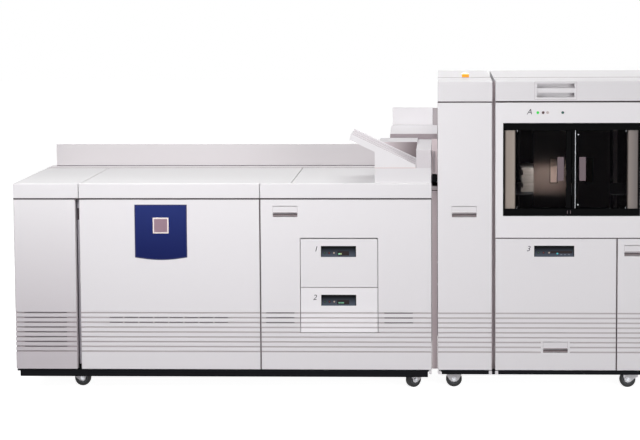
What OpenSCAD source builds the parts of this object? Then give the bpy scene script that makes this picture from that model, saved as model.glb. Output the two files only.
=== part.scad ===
// Digital production printer: print engine, transport tower and stacker cabinet, docked side by side.
// Z is up and the fronts face -Y. The origin lies on the floor under the middle of the whole machine.

/* [Modules] */
// Width of the print engine
engine_w = 1956; // [1800:1:2200]
// Depth of the print engine
engine_d = 940; // [900:1:1050]
// Height of the worktop above the floor
worktop_h = 974; // [940:1:1040]
// Width of the transport tower
tower_w = 253; // [230:1:320]
// Depth of the tower and the stacker cabinet
cabinet_d = 1150; // [1100:1:1250]
// Height of the tower and the stacker cabinet
cabinet_h = 1448; // [1430:1:1600]
// Gap between the engine and the tower
engine_gap = 28; // [22:1:40]
// Gap between the tower and the stacker cabinet
tower_gap = 15; // [12:1:25]

/* [Covers] */
// Thickness of a door, front to back
door_t = 30; // [24:1:40]
// Thickness of a moulded front skin
skin_t = 6; // [5:0.5:8]
// Thickness of the returned edges of a door
rim_t = 8; // [7:0.5:12]
// Radius of a door's upright front edges
door_r = 5; // [2:0.5:8]
// Visible gap between neighbouring covers
seam = 4; // [3.5:0.5:6]
// Thickness of the sheet side panels
side_t = 5; // [4:0.5:6]
// Height of the lower edge of the covers above the floor
cover_low = 98; // [96:1:110]
// Height of the seam under the engine's front band
band_seam = 900; // [870:1:915]
// Height of the tower and stacker tops, from their seam up
top_h = 98; // [88:1:118]
// Radius of the long front edges of the tops
edge_r = 6; // [3:0.5:10]

/* [Grooves] */
// Number of grooves across the covers
groove_count = 9; // [3:1:11]
// Height of the highest groove
groove_top = 365; // [350:1:375]
// Distance from groove to groove
groove_pitch = 22.9; // [18:0.1:24]
// Height of one groove
groove_h = 7; // [4:0.5:9]
// Depth of a groove
groove_depth = 3; // [1:0.5:4]

/* [Engine front] */
// Width of the left end cover
end_w = 291; // [260:1:320]
// Width of the upright channel beside it
channel_w = 18; // [14:1:24]
// Width of the door with the trays
tray_door_w = 798; // [760:1:840]
// Distance from the worktop's right edge to its right seam
right_top_w = 654; // [600:1:700]
// Length of the worktop panels, front to back
top_run = 779; // [740:1:800]
// Height of the rear wall above the worktop
wall_h = 111; // [80:1:140]
// Distance of the rear wall's face behind the front
wall_back = 905; // [860:1:912]
// Inset of the rear wall from the left edge
wall_inset = 27; // [10:1:60]

/* [Trays 1 and 2] */
// Width of the opening for trays 1 and 2
tray_w = 365; // [340:1:380]
// Distance of the opening from the engine's right edge
tray_inset = 249; // [220:1:270]
// Height of the lower edge of the opening
tray_low = 271.5; // [255:0.5:290]
// Height of the line between the two trays
tray_mid = 486; // [470:0.5:500]
// Height of the upper edge of the opening
tray_high = 719; // [700:0.5:740]
// Length of a tray box, front to back
tray_len = 560; // [480:1:600]
// Travel of a tray
tray_travel = 480; // [300:1:520]

/* [Stacker front] */
// Distance from the cabinet's left side to the window
window_in = 35; // [30:1:50]
// Distance from the window to the cabinet's right side
window_right_in = 121; // [80:1:140]
// Height of the window's lower edge
window_low = 821; // [800:1:840]
// Distance from the cabinet's top down to the window
window_drop = 194; // [168:1:218]
// Height of the seam over tray 3
feeder_seam = 717; // [700:1:740]
// Width of the front of tray 3
tray3_w = 564; // [540:1:600]
// Width of the lower right door and its seam
lower_w = 226; // [210:1:300]

/* [Handles and displays] */
// Width of a paddle handle's recess
handle_w = 115; // [90:1:130]
// Height of a paddle handle's recess
handle_h = 52; // [44:1:60]
// Depth of a paddle handle's recess
handle_d = 22; // [18:0.5:24]
// Height of the paddle in its recess
paddle_h = 31; // [26:1:36]
// Width of the display windows of trays 1 and 2
display_w = 164; // [140:1:180]
// Width of the display window of tray 3
display3_w = 186; // [160:1:200]
// Height of a display window
display_h = 52; // [40:1:60]
// Depth of a display window
display_d = 10; // [6:0.5:12]

/* [Casters] */
// Radius of a caster's wheel
wheel_r = 37.5; // [34:0.5:38.5]
// Width of a caster's wheel
wheel_w = 24; // [18:1:28]
// Distance of a swivel caster's axle behind its pivot
trail = 28; // [22:1:32]
// Distance of the casters from the front and back
caster_in = 100; // [90:1:140]

/* [Hidden] */
$fn = 48;
cut = 1; // overrun of every cut
fit = 0.3; // space between pieces that seat on each other
play = 0.05; // running clearance of a pin in its bore
metal_t = 3; // sheet of the frames
shell_t = 4; // wall of a moulded shell

stacker_w = tray3_w + lower_w;
total_w = engine_w + engine_gap + tower_w + tower_gap + stacker_w;
eng_x0 = -total_w / 2;
eng_x1 = eng_x0 + engine_w;
tow_x0 = eng_x1 + engine_gap;
tow_x1 = tow_x0 + tower_w;
sta_x0 = tow_x1 + tower_gap;
sta_x1 = total_w / 2;
front = -cabinet_d / 2;
back = cabinet_d / 2;
eng_back = front + engine_d;

top_seam = cabinet_h - top_h;

// Base frames: a plate on rails
base_top = cover_low - seam;
base_plate_t = 6;
base_setback = 3;
base_side_in = 4;
rail_w = 30;
rail_in = 18;
engine_rail_h = 26;
cabinet_rail_h = 12;
plate_low = base_top - base_plate_t;

// Front lines of the engine
band_low = band_seam + seam / 2;
door_top = band_seam - seam / 2;
channel_x0 = eng_x0 + end_w;
channel_x1 = channel_x0 + channel_w;
tray_door_x0 = eng_x1 - tray_door_w;
main_door_x1 = tray_door_x0 - seam;
strip_back = 36; // distance of the posts behind the front, which lets the doors' edges swing
post_d = 10;

// Worktop
top_t = 20;
top_low = worktop_h - top_t;
top_lip = 14;
top_rim = 6;
top_x1 = channel_x1 + 2 * seam;
top_x2 = eng_x1 - right_top_w;
top_y0 = front + top_lip + seam / 2;
top_y1 = front + top_run - seam;
wall_t = 12;
wall_top = worktop_h + wall_h;

// Hinges: pivot pins of the doors, and barrels that lie in the seam of a cover
pin_r = 4;
hinge_in = 9;
hinge_y = front + door_t / 2;
barrel_r = 1.8;
barrel_drop = 2;
barrel_w = 60;

// Frames
rail_h = 30;
rail_y0 = front + skin_t + fit;
frame_y1 = eng_back - rail_h - top_t;
post_y0 = front + strip_back;
plate_y0 = post_y0 + post_d + fit;

// Trays 1 and 2
tray_gap = 3;
tray_x1 = eng_x1 - tray_inset;
tray_x0 = tray_x1 - tray_w;
front_t = 16;
box_t = 2;
slide_gap = 15;
slide_w = 8;
slide_h = 18;
slide_z = 60;
bay_wall_t = 3;
channel_d = 11;
lift_t = 3;
lift_gap = 6;
display_drop = 33;
display_in = 98;
box_front_gap = 14;
box_top_gap = 24;

// Stacker
cab_seam_low = top_seam - seam / 2;
cab_seam_high = top_seam + seam / 2;
bay_under = 75;
bay_floor = window_low - bay_under;
bay_plate_t = 4;
win_x0 = sta_x0 + window_in;
win_x1 = sta_x1 - window_right_in;
window_high = cabinet_h - window_drop;
frame_bar = 34;
frame_side = 7;
pillar_w = 50;
pillar_d = 48;
pillar_r = 7;
pane_t = 10;
pane_back = 10;
pane_gap = 3;
pane_pin_r = 2;
pane_pin_in = 6;
pane_pin_seat = 10;
tray3_x1 = sta_x0 + tray3_w;
tray3_travel = 480;
tray3_len = 600;
surround_low = feeder_seam + seam / 2;
feeder_top = feeder_seam - seam / 2;
rod_r = 10;
rod_back = 620;
rod_y = front + rod_back;
rod_in = 62;
deck_z = 914;
deck_t = 4;
paper_w = 216;
paper_l = 279;
paper_h = 111;

// Paddle handles: places of the recess's middle
tray_pad_in = 116;
tray_pad_drop = 131;
tower_pad_in = 3;
tower_pad_drop = 132;
lower_pad_in = 135;
lower_pad_drop = 57;
tray3_pad_in = 2;
tray3_pad_rise = 108;
pad_tray = [tray_door_x0 + tray_pad_in, worktop_h - tray_pad_drop];
pad_tower = [(tow_x0 + tow_x1) / 2 - tower_pad_in, worktop_h - tower_pad_drop];
pad_lower = [sta_x1 - lower_pad_in, feeder_seam - lower_pad_drop];
pad_tray3 = [sta_x0 + tray3_w / 2 - tray3_pad_in, cover_low + tray3_pad_rise];
cup_t = 4;
paddle_t = 5;
paddle_gap = 1;
paddle_pin_r = 2.5;
paddle_pin_drop = 6;
paddle_pin_in = 4;
paddle_pin_y = front + paddle_pin_in;
paddle_face = 0.5;
paddle_lip_r = 4;

// Sample tray and crossover
base_h = 70;
step_w = 262;
step_in = 20;
step_back = 650;
step_side_in = 2;
step_y0 = front + step_in;
step_y1 = front + step_back;
step_x1 = eng_x1 - step_side_in;
step_x0 = step_x1 - step_w;
step_top = worktop_h + base_h;
column_w = 69;
column_h = 154;
column_top = worktop_h + column_h;
block_in = 400;
block_y0 = front + block_in;
block_h = 162;
block_top = worktop_h + block_h;
exit_h = 30;
exit_rise = 36;
exit_d = 36;
exit_in = 45;
sample_run = 302;
sample_rise = 144;
sample_foot = 14;
sample_low = step_top + sample_foot;
sample_lip = 27;
sample_lean = 6;
sample_cheek = 6;
sample_floor = 8;
sample_in = 5;
sample_gap = 4;
sample_y0 = step_y0 + sample_in;
sample_y1 = block_y0 - sample_gap;
rib_count = 6;
rib_w = 4;
rib_h = 4;
duct_w = 208;
duct_back = 884;
duct_h = 152;
duct_x0 = step_x1 - duct_w;
duct_y1 = front + duct_back;
duct_top = worktop_h + duct_h;
guide_d = 12;
panel_t = 12;
panel_in = 7;
panel_h = 299;
cover_in = 657;
panel_x0 = duct_x0 + panel_in;
panel_top = worktop_h + panel_h;
cover_y0 = front + cover_in;
cover_front_h = 28;
cover_back_h = 55;
cover_rest = 2;
cover_low_z = duct_top + cover_rest;
cover_x1 = tow_x0 - seam;

// Casters: pivot x, pivot y, turn of the fork
fork_t = 3;
crown_t = 4;
crown_top = plate_low - fit;
stem_r = 6;
axle_r = 4;
fork_gap = 3;
fork_reach = 20;
fork_end_r = 13;
left_caster_in = 297;
right_caster_in = 64;
tower_caster_in = 76;
stacker_caster_in = 137;
eng_caster_l = eng_x0 + left_caster_in - trail;
eng_caster_r = eng_x1 - right_caster_in;
cab_caster_l = tow_x0 + tower_caster_in;
cab_caster_r = sta_x1 - stacker_caster_in;
cab_y0 = front + caster_in;
cab_y1 = back - caster_in;
eng_y1 = eng_back - caster_in;
swivels = [[eng_caster_l, cab_y0, 0], [eng_caster_r, cab_y0, 215],
    [cab_caster_r, cab_y0, 180], [cab_caster_r, cab_y1, 180]];
fixed_forks_at = [[eng_caster_l + trail, eng_y1], [eng_caster_r - trail, eng_y1],
    [cab_caster_l, cab_y0], [cab_caster_l, cab_y1]];

// A box between two corners
module block(low, high) translate(low) cube(high - low);

// An outline in X and Z, drawn from y0 to y1
module along_y(y0, y1) translate([0, y1, 0]) rotate([90, 0, 0]) linear_extrude(y1 - y0) children();

// An outline in Y and Z, drawn from x0 to x1
module along_x(x0, x1) translate([x0, 0, 0]) rotate([90, 0, 90]) linear_extrude(x1 - x0) children();

// A rod along X
module rod_x(x0, x1, y, z, r) translate([x0, y, z]) rotate([0, 90, 0]) cylinder(r = r, h = x1 - x0);

// A rod along Y
module rod_y(y0, y1, x, z, r) translate([x, y1, z]) rotate([90, 0, 0]) cylinder(r = r, h = y1 - y0);

// A rod along Z
module rod_z(z0, z1, x, y, r) translate([x, y, z0]) cylinder(r = r, h = z1 - z0);

// A rectangle whose two front corners are round
module round_front(w, d, r) {
    translate([0, r]) square([w, d - r]);
    translate([r, 0]) square([w - 2 * r, d]);
    translate([r, r]) circle(r);
    translate([w - r, r]) circle(r);
}

function groove_z(i) = groove_top - i * groove_pitch;

// Grooves along the front of a cover
module front_grooves(x0, x1, rows = [0 : groove_count - 1]) {
    for (i = rows)
        block([x0, front - cut, groove_z(i) - groove_h / 2],
            [x1, front + groove_depth, groove_z(i) + groove_h / 2]);
}

// Narrow vent slots at the bottom of the grooves, right through the skin
module vent_slots(x0, x1, rows) {
    slot_h = groove_h - 2 * fit;
    for (i = rows)
        block([x0, front - cut, groove_z(i) - slot_h / 2],
            [x1, front + skin_t + cut, groove_z(i) + slot_h / 2]);
}

// A hollow door, open at the back
module door_pan(x0, x1, z0, z1) {
    difference() {
        translate([x0, front, z0]) linear_extrude(z1 - z0) round_front(x1 - x0, door_t, door_r);
        block([x0 + rim_t, front + skin_t, z0 + rim_t], [x1 - rim_t, front + door_t + cut, z1 - rim_t]);
    }
}

// Bores for a door's two pivot pins
module pin_bores(x, z0, z1) {
    rod_z(z0 - cut, z0 + rim_t + cut, x, hinge_y, pin_r + play);
    rod_z(z1 - rim_t - cut, z1 + cut, x, hinge_y, pin_r + play);
}

// Walls of a paddle handle's recess, behind the skin
module handle_cup(at) {
    block([at[0] - handle_w / 2 - cup_t, front + skin_t - fit, at[1] - handle_h / 2 - cup_t],
        [at[0] + handle_w / 2 + cup_t, front + handle_d + cup_t, at[1] + handle_h / 2 + cup_t]);
}

// The hollow of the recess, with the pivot bores of its paddle
module handle_hollow(at) {
    block([at[0] - handle_w / 2, front - cut, at[1] - handle_h / 2],
        [at[0] + handle_w / 2, front + handle_d, at[1] + handle_h / 2]);
    rod_x(at[0] - handle_w / 2 - cup_t - cut, at[0] + handle_w / 2 + cup_t + cut, paddle_pin_y,
        at[1] + handle_h / 2 - paddle_pin_drop, paddle_pin_r + play);
}

// The paddle of a handle: a plate with a rolled lower lip and a pivot at each end
module paddle(at) {
    top = at[1] + handle_h / 2 - paddle_pin_drop / 2;
    x0 = at[0] - handle_w / 2 + paddle_gap;
    x1 = at[0] + handle_w / 2 - paddle_gap;
    block([x0, front + paddle_face, top - paddle_h], [x1, front + paddle_face + paddle_t, top]);
    rod_x(x0, x1, front + paddle_face + paddle_lip_r, top - paddle_h + paddle_lip_r, paddle_lip_r);
    rod_x(x0 - cup_t, x1 + cup_t, paddle_pin_y, at[1] + handle_h / 2 - paddle_pin_drop, paddle_pin_r);
}

// The plate of one base frame, with a rail at its front, its back and one end
module base_unit(x0, x1, y1, rail_z, side_x, pivots) {
    y0 = front + base_setback;
    difference() {
        block([x0 + base_side_in, y0, plate_low], [x1 - base_side_in, y1, base_top]);
        for (p = pivots)
            rod_z(plate_low - cut, base_top + cut, p[0], p[1], stem_r + play);
    }
    // Rails, screwed on under the plate
    rail_top = plate_low - fit;
    for (y = [y0, y1 - rail_w])
        block([x0 + rail_in, y, rail_z], [x1 - rail_in, y + rail_w, rail_top]);
    block([side_x, y0 + rail_w + fit, rail_z], [side_x + rail_w, y1 - rail_w - fit, rail_top]);
}

module base_frames() color("#15171c") {
    base_unit(eng_x0, eng_x1, eng_back - base_setback, plate_low - engine_rail_h, eng_x0 + rail_in,
        [swivels[0], swivels[1]]);
    base_unit(tow_x0, sta_x1, back - base_setback, plate_low - cabinet_rail_h,
        sta_x1 - rail_in - rail_w, [swivels[2], swivels[3]]);
}

bay_side_gap = 5;
bay_x0 = tray_x0 - bay_side_gap;
bay_x1 = tray_x1 + bay_side_gap;

// Slide channel on a bay wall: side is 1 where the tray lies to its right, and -1 to its left
module slide_channel(x, y0, y1, z, side) {
    lip = 3;
    lo = min(x, x + side * channel_d);
    hi = max(x, x + side * channel_d);
    mouth = slide_h / 2 + fit;
    difference() {
        block([lo, y0, z - mouth - lip], [hi, y1, z + mouth + lip]);
        block([side > 0 ? lo + lip : lo - cut, y0 - cut, z - mouth],
            [side > 0 ? hi + cut : hi - lip, y1 + cut, z + mouth]);
    }
}

// Bar of a tray box that runs in the channel
function tray_slide_x(side) = side > 0 ? tray_x0 + slide_gap - slide_w : tray_x1 - slide_gap + slide_w;

wall_over = 20;
tray_wall_y1 = front + front_t + tray_len + wall_over;

module engine_frame() color("#a8a9ab") {
    plates = [eng_x0 + 2 * side_t, (channel_x0 + channel_x1) / 2, tray_door_x0 - seam / 2,
        eng_x1 - metal_t - side_t];
    for (x = plates)
        block([x, plate_y0, base_top], [x + metal_t, frame_y1 - fit, top_low]);
    // Upright posts behind the seams of the front
    for (x = [channel_x0 + fit, tray_door_x0 - channel_w / 2, eng_x1 - channel_w])
        block([x, post_y0, base_top], [x + channel_w - 2 * fit, post_y0 + post_d, band_low - fit]);
    block([eng_x0 + 2 * side_t, rail_y0, band_low], [eng_x1 - metal_t, post_y0 + post_d, band_low + rail_h]);
    block([eng_x0 + 2 * side_t, frame_y1, top_low - rail_h], [eng_x1 - metal_t, frame_y1 + rail_h, top_low]);
    block([eng_x0 + 2 * side_t, frame_y1, base_top],
        [eng_x1 - metal_t, frame_y1 + rail_h, base_top + rail_h]);
    // Rail under the worktop's right seam
    block([top_x2 - rail_h / 2, plate_y0, top_low - rail_h], [top_x2 + rail_h / 2, frame_y1 - fit, top_low]);
    // Walls of the tray bay with the slide channels
    for (side = [1, -1]) {
        inner = tray_slide_x(side) - side * (channel_d - slide_w + fit);
        wall = side > 0 ? inner - bay_wall_t : inner;
        block([wall, plate_y0, base_top], [wall + bay_wall_t, tray_wall_y1, tray_high + top_t]);
        for (z = [tray_low, tray_mid])
            slide_channel(inner, plate_y0, tray_wall_y1, z + slide_z, side);
    }
}

module end_cover() color("#e6e5e8") difference() {
    union() {
        door_pan(eng_x0, channel_x0, cover_low, door_top);
        block([eng_x0, front + door_t - fit, cover_low], [eng_x0 + side_t, eng_back, door_top]);
    }
    front_grooves(eng_x0 - cut, channel_x0 + cut);
    for (i = [0 : groove_count - 1])
        block([eng_x0 - cut, front - cut, groove_z(i) - groove_h / 2],
            [eng_x0 + groove_depth, eng_back + cut, groove_z(i) + groove_h / 2]);
    vent_slots(eng_x0 + end_w / 7, channel_x0 - end_w / 6, [0 : groove_count - 2]);
}

// Section of the front band: a wall with a lip over it and a round edge between
module band_section() {
    difference() {
        union() {
            translate([front + edge_r, band_low]) square([top_lip - edge_r, worktop_h - band_low]);
            translate([front, band_low]) square([top_lip, worktop_h - band_low - edge_r]);
            translate([front + edge_r, worktop_h - edge_r]) circle(edge_r);
        }
        translate([front + skin_t, band_low - cut])
            square([top_lip, worktop_h - band_low - skin_t + cut]);
    }
}

module engine_fascia() color("#efeeef") {
    along_x(eng_x0, channel_x1 - seam) band_section();
    along_x(channel_x1, main_door_x1) band_section();
    along_x(tray_door_x0, eng_x1) band_section();
    // Side band of the left end
    block([eng_x0, front + top_lip + fit, band_low], [eng_x0 + side_t, eng_back, top_low - fit]);
}

// A worktop panel: a pan with its edges turned down
module top_pan(x0, x1, y0, y1) difference() {
    block([x0, y0, top_low], [x1, y1, worktop_h]);
    block([x0 + top_rim, y0 + top_rim, top_low - cut], [x1 - top_rim, y1 - top_rim, worktop_h - shell_t]);
}

module worktop_panels() color("#e4e4e6") {
    top_pan(eng_x0, top_x1 - seam / 2, top_y0, top_y1);
    top_pan(top_x2 + seam / 2, eng_x1, top_y0, top_y1);
}

module worktop_cover() color("#e4e4e6") top_pan(top_x1 + seam / 2, top_x2 - seam / 2, top_y0, top_y1);

module rear_wall() color("#dbdadd") {
    top_pan(eng_x0, eng_x1, top_y1 + seam, eng_back);
    block([eng_x0 + wall_inset, front + wall_back, worktop_h],
        [eng_x1 - wall_t, front + wall_back + wall_t, wall_top]);
}

module back_cover() color("#d9d8db") difference() {
    slots = 12;
    slot_w = 260;
    slot_h = 8;
    slot_pitch = 24;
    block([eng_x0 + side_t + fit, eng_back - side_t, cover_low], [eng_x1, eng_back, top_low - fit]);
    for (x = [eng_x0 + engine_w / 4, eng_x1 - engine_w / 4], i = [0 : slots - 1])
        block([x - slot_w / 2, eng_back - side_t - cut, band_low - slot_pitch * (i + 2)],
            [x + slot_w / 2, eng_back + cut, band_low - slot_pitch * (i + 2) + slot_h]);
}

module crossover_housing() color("#e2e1e4") {
    column_x0 = step_x1 - column_w;
    block([step_x0, step_y0, worktop_h], [step_x1, step_y1, step_top - fit]);
    difference() {
        block([column_x0, step_y0, step_top], [step_x1, step_y1, column_top]);
        block([column_x0 - cut, step_y0 + exit_in, step_top + exit_rise],
            [column_x0 + exit_d, block_y0 - top_t, step_top + exit_rise + exit_h]);
    }
    block([step_x0 + sample_cheek, block_y0, step_top], [column_x0 - fit, step_y1, block_top]);
    difference() {
        block([duct_x0, step_y1 + fit, worktop_h], [step_x1, duct_y1 + seam - fit, duct_top]);
        block([duct_x0 + panel_t, cover_y0 + panel_t, duct_top - guide_d],
            [step_x1 + cut, duct_y1 - panel_t, duct_top + cut]);
    }
    block([panel_x0, duct_y1 + seam, worktop_h], [step_x1, duct_y1 + seam + panel_t, panel_top]);
}

// Points of the sample tray's slope, seen from the front
column_gap = 3;
s_x1 = step_x1 - column_w - column_gap;
s_x0 = s_x1 - sample_run;
s_hi = sample_low + sample_rise;
s_slope = sample_rise / sample_run;
function slope_z(x) = s_hi - (x - s_x0) * s_slope;

module sample_tray() color("#e9e8ea") {
    cheek = [[s_x0, s_hi], [s_x0 - sample_lean, s_hi - sample_lip],
        [step_x0, slope_z(step_x0) - sample_lip - sample_lean * s_slope], [step_x0, step_top + fit],
        [s_x1, step_top + fit], [s_x1, sample_low]];
    floor_top = sample_lip - sample_lip / 3;
    along_y(sample_y0, sample_y0 + sample_cheek) polygon(cheek);
    along_y(sample_y1 - sample_cheek, sample_y1) polygon(cheek);
    along_y(sample_y0 + sample_cheek - fit, sample_y1 - sample_cheek + fit)
        polygon([[s_x0 - sample_lean / 2, s_hi - floor_top + sample_floor],
            [s_x0 - sample_lean / 2, s_hi - floor_top],
            [s_x1, slope_z(s_x1) - sample_floor - rib_h],
            [s_x1, slope_z(s_x1) - rib_h]]);
    step = (sample_y1 - sample_y0 - 2 * sample_cheek) / (rib_count + 1);
    for (i = [1 : rib_count])
        translate([0, sample_y0 + sample_cheek + i * step, 0])
            along_y(-rib_w / 2, rib_w / 2)
                polygon([[s_x0 + rib_w, slope_z(s_x0 + rib_w) - rib_h / 4],
                    [s_x0 + rib_w, s_hi - floor_top + rib_h / 2],
                    [s_x1, slope_z(s_x1) - sample_floor], [s_x1, slope_z(s_x1) - rib_h / 4]]);
}

module crossover_cover() color("#e6e5e8") {
    y1 = duct_y1;
    front_z = cover_low_z + cover_front_h;
    back_z = cover_low_z + cover_back_h;
    difference() {
        along_x(duct_x0, cover_x1)
            polygon([[cover_y0, cover_low_z], [y1, cover_low_z], [y1, back_z], [cover_y0, front_z]]);
        along_x(duct_x0 + shell_t, cover_x1 - shell_t)
            polygon([[cover_y0 + shell_t, cover_low_z - cut], [y1 - shell_t, cover_low_z - cut],
                [y1 - shell_t, back_z - shell_t], [cover_y0 + shell_t, front_z - shell_t]]);
    }
}

// Left-hand and right-hand edges of the doors, and where their pins stand
main_hinge_x = channel_x1 + hinge_in;
tray_hinge_x = eng_x1 - hinge_in;
tower_hinge_x = tow_x1 - hinge_in;
lower_hinge_x = sta_x1 - hinge_in;
pane_x0 = win_x0 + frame_side + pillar_w + pane_gap + fit;
pane_x1 = win_x1 - frame_side - pillar_w - pane_gap - fit;
pane_end_gap = 2;
pane_z0 = window_low + frame_bar + pane_end_gap;
pane_z1 = window_high - frame_bar - pane_end_gap;
pane_y = front + pane_back + pane_t / 2;

module hinge_pins() color("#c9ccd0") {
    for (x = [main_hinge_x, tray_hinge_x]) {
        rod_z(base_top, cover_low + rim_t, x, hinge_y, pin_r);
        rod_z(door_top - rim_t, band_low, x, hinge_y, pin_r);
    }
    rod_z(base_top, cover_low + rim_t, tower_hinge_x, hinge_y, pin_r);
    rod_z(cab_seam_low - rim_t, cab_seam_high, tower_hinge_x, hinge_y, pin_r);
    rod_z(base_top, cover_low + rim_t, lower_hinge_x, hinge_y, pin_r);
    rod_z(feeder_top - rim_t, surround_low, lower_hinge_x, hinge_y, pin_r);
    for (x = [pane_x0 + pane_pin_in, pane_x1 - pane_pin_in]) {
        rod_z(window_low + frame_bar - pane_pin_seat, pane_z0 + rim_t, x, pane_y, pane_pin_r);
        rod_z(pane_z1 - rim_t, window_high - frame_bar + pane_pin_seat, x, pane_y, pane_pin_r);
    }
    // Barrels in the seams behind the worktop cover and the crossover cover, and under the top cover
    for (x = [top_x1 + barrel_w, top_x2 - 2 * barrel_w])
        rod_x(x, x + barrel_w, top_y1 + seam / 2, worktop_h - barrel_drop, barrel_r);
    for (x = [panel_x0, step_x1 - barrel_w])
        rod_x(x, x + barrel_w, duct_y1 + seam / 2, cover_low_z + cover_back_h - barrel_drop, barrel_r);
    for (x = [sta_x0 + barrel_w, sta_x1 - 2 * barrel_w])
        rod_x(x, x + barrel_w, back - barrel_drop, top_seam, barrel_r);
}

// Print works behind the main door
works_in = 150;
works_back = 590;
works_y0 = front + works_in;
works_y1 = front + works_back;
works_t = 4;
belt_r = 34;
belt_t = 2;
belt_in = 70;
belt_x0 = channel_x1 + belt_in;
belt_w = 330;
belt_rise = 150;
belt_drop = 110;
belt_low = base_top + belt_rise;
belt_high = band_low - belt_drop;
roller_at = [[belt_x0 + belt_r, belt_low], [belt_x0 + belt_w - belt_r, belt_low],
    [belt_x0 + belt_w / 2, belt_high]];
dev_w = 120;
dev_h = 100;
dev_pitch = 150;
dev_gap = 20;
dev_x0 = belt_x0 + belt_w + dev_gap;

module belt_module() {
    plate_x1 = dev_x0 + dev_w + top_t;
    color("#6d6f74") for (y = [works_y0, works_y1 - works_t])
        block([belt_x0 - top_t, y, base_top], [plate_x1, y + works_t, belt_high + belt_r + top_t]);
    color("#2c4a43") along_y(works_y0 + works_t + fit, works_y1 - works_t - fit) difference() {
        hull() for (p = roller_at) translate(p) circle(belt_r + fit + belt_t);
        hull() for (p = roller_at) translate(p) circle(belt_r + fit);
    }
    color("#b9bcc1") for (p = roller_at)
        rod_y(works_y0 + works_t + fit, works_y1 - works_t - fit, p[0], p[1], belt_r);
    // Developer housings, one above the other beside the belt
    color("#3a3c42") for (i = [0 : 2]) translate([dev_x0, 0, belt_low + i * dev_pitch])
        along_y(works_y0 + works_t + fit, works_y1 - works_t - fit) {
            translate([dev_h / 2, dev_h / 2]) circle(dev_h / 2);
            translate([dev_h / 2, 0]) square([dev_w - dev_h / 2, dev_h]);
        }
}

fuser_r = 35;
press_r = 30;
journal_r = 8;
fuser_in = 100;
fuser_rise = 330;
fuser_x = main_door_x1 - fuser_in;
fuser_z = base_top + fuser_rise;
press_z = fuser_z - fuser_r - press_r - 2 * fit;
fuser_w = 130;

module fuser_housing() color("#8f9297") {
    x0 = fuser_x - fuser_w / 2;
    x1 = fuser_x + fuser_w / 2;
    difference() {
        block([x0, works_y0, base_top], [x1, works_y1, fuser_z + fuser_r + top_t]);
        block([x0 + works_t, works_y0 + works_t, press_z - press_r - top_t],
            [x1 + cut, works_y1 - works_t, fuser_z + fuser_r + top_t + cut]);
        block([x0 + works_t, works_y0 + works_t, base_top - cut],
            [x1 - works_t, works_y1 - works_t, press_z - press_r - top_t - works_t]);
        for (z = [fuser_z, press_z])
            rod_y(works_y0 - cut, works_y1 + cut, fuser_x, z, journal_r + play);
    }
}

// A roll between the end plates, with a journal in each
module roll(z, r) {
    rod_y(works_y0 + works_t + fit, works_y1 - works_t - fit, fuser_x, z, r);
    rod_y(works_y0, works_y1, fuser_x, z, journal_r);
}

module fuser_roll() color("#b5552e") roll(fuser_z, fuser_r);
module pressure_roll() color("#4a4b4f") roll(press_z, press_r);

module electronics_cage() color("#9fa4a8") {
    cage_in = 40;
    cage_gap = 20;
    cage_front = 180;
    cage_back = 60;
    cage_drop = 120;
    x0 = eng_x0 + cage_in;
    x1 = channel_x0 - cage_gap;
    y0 = front + cage_front;
    y1 = frame_y1 - cage_back;
    z1 = band_low - cage_drop;
    cards = 8;
    difference() {
        block([x0, y0, base_top], [x1, y1, z1]);
        block([x0 + metal_t, y0 - cut, base_top + metal_t], [x1 - metal_t, y1 - metal_t, z1 - metal_t]);
    }
    pitch = (x1 - x0) / (cards + 1);
    for (i = [1 : cards])
        block([x0 + i * pitch, y0 + metal_t, base_top + metal_t - fit],
            [x0 + i * pitch + box_t, y1 - metal_t + fit, z1 - 2 * top_t]);
}

module emblem_door() color("#e3e2e6") {
    dashes = 8;
    dash_w = 62.5;
    dash_pitch = 70.8;
    dash_in = 135;
    dash_x0 = channel_x1 + dash_in;
    difference() {
        door_pan(channel_x1, main_door_x1, cover_low, door_top);
        front_grooves(channel_x1 - cut, main_door_x1 + cut);
        for (i = [0 : dashes - 1])
            vent_slots(dash_x0 + i * dash_pitch, dash_x0 + i * dash_pitch + dash_w, [1, 2]);
        pin_bores(main_hinge_x, cover_low, door_top);
        along_y(front - cut, front + emblem_d) emblem_outline();
    }
}

// Shield outline of the recess for the coloured plate, with a curved lower edge
emblem_w = 246;
emblem_d = 1.5;
emblem_foot = 348;
emblem_drop = 99;
emblem_in = 260;
emblem_low = worktop_h - emblem_foot;
emblem_high = worktop_h - emblem_drop;
emblem_x0 = channel_x1 + emblem_in;
emblem_sag = 12;
module emblem_outline() {
    steps = 12;
    polygon(concat([[emblem_x0, emblem_high], [emblem_x0 + emblem_w, emblem_high]],
        [for (i = [0 : steps]) [emblem_x0 + emblem_w * (1 - i / steps),
            emblem_low - emblem_sag * sin(180 * i / steps)]]));
}

vent_in = 23;
vent_right_in = 28;
vent_w = 133;
module tray_door() color("#e2e1e5") difference() {
    union() {
        door_pan(tray_door_x0, eng_x1, cover_low, door_top);
        handle_cup(pad_tray);
        block([tray_x0 - rim_t, front + skin_t - fit, tray_low - rim_t],
            [tray_x1 + rim_t, front + door_t, tray_high + rim_t]);
    }
    block([tray_x0, front - cut, tray_low], [tray_x1, front + door_t + cut, tray_high]);
    front_grooves(tray_door_x0 - cut, eng_x1 + cut);
    vent_slots(tray_door_x0 + vent_in, tray_door_x0 + vent_in + vent_w, [0 : 2]);
    vent_slots(tray_x1 + vent_right_in, tray_x1 + vent_right_in + vent_w, [0 : 2]);
    handle_hollow(pad_tray);
    pin_bores(tray_hinge_x, cover_low, door_top);
}

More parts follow.
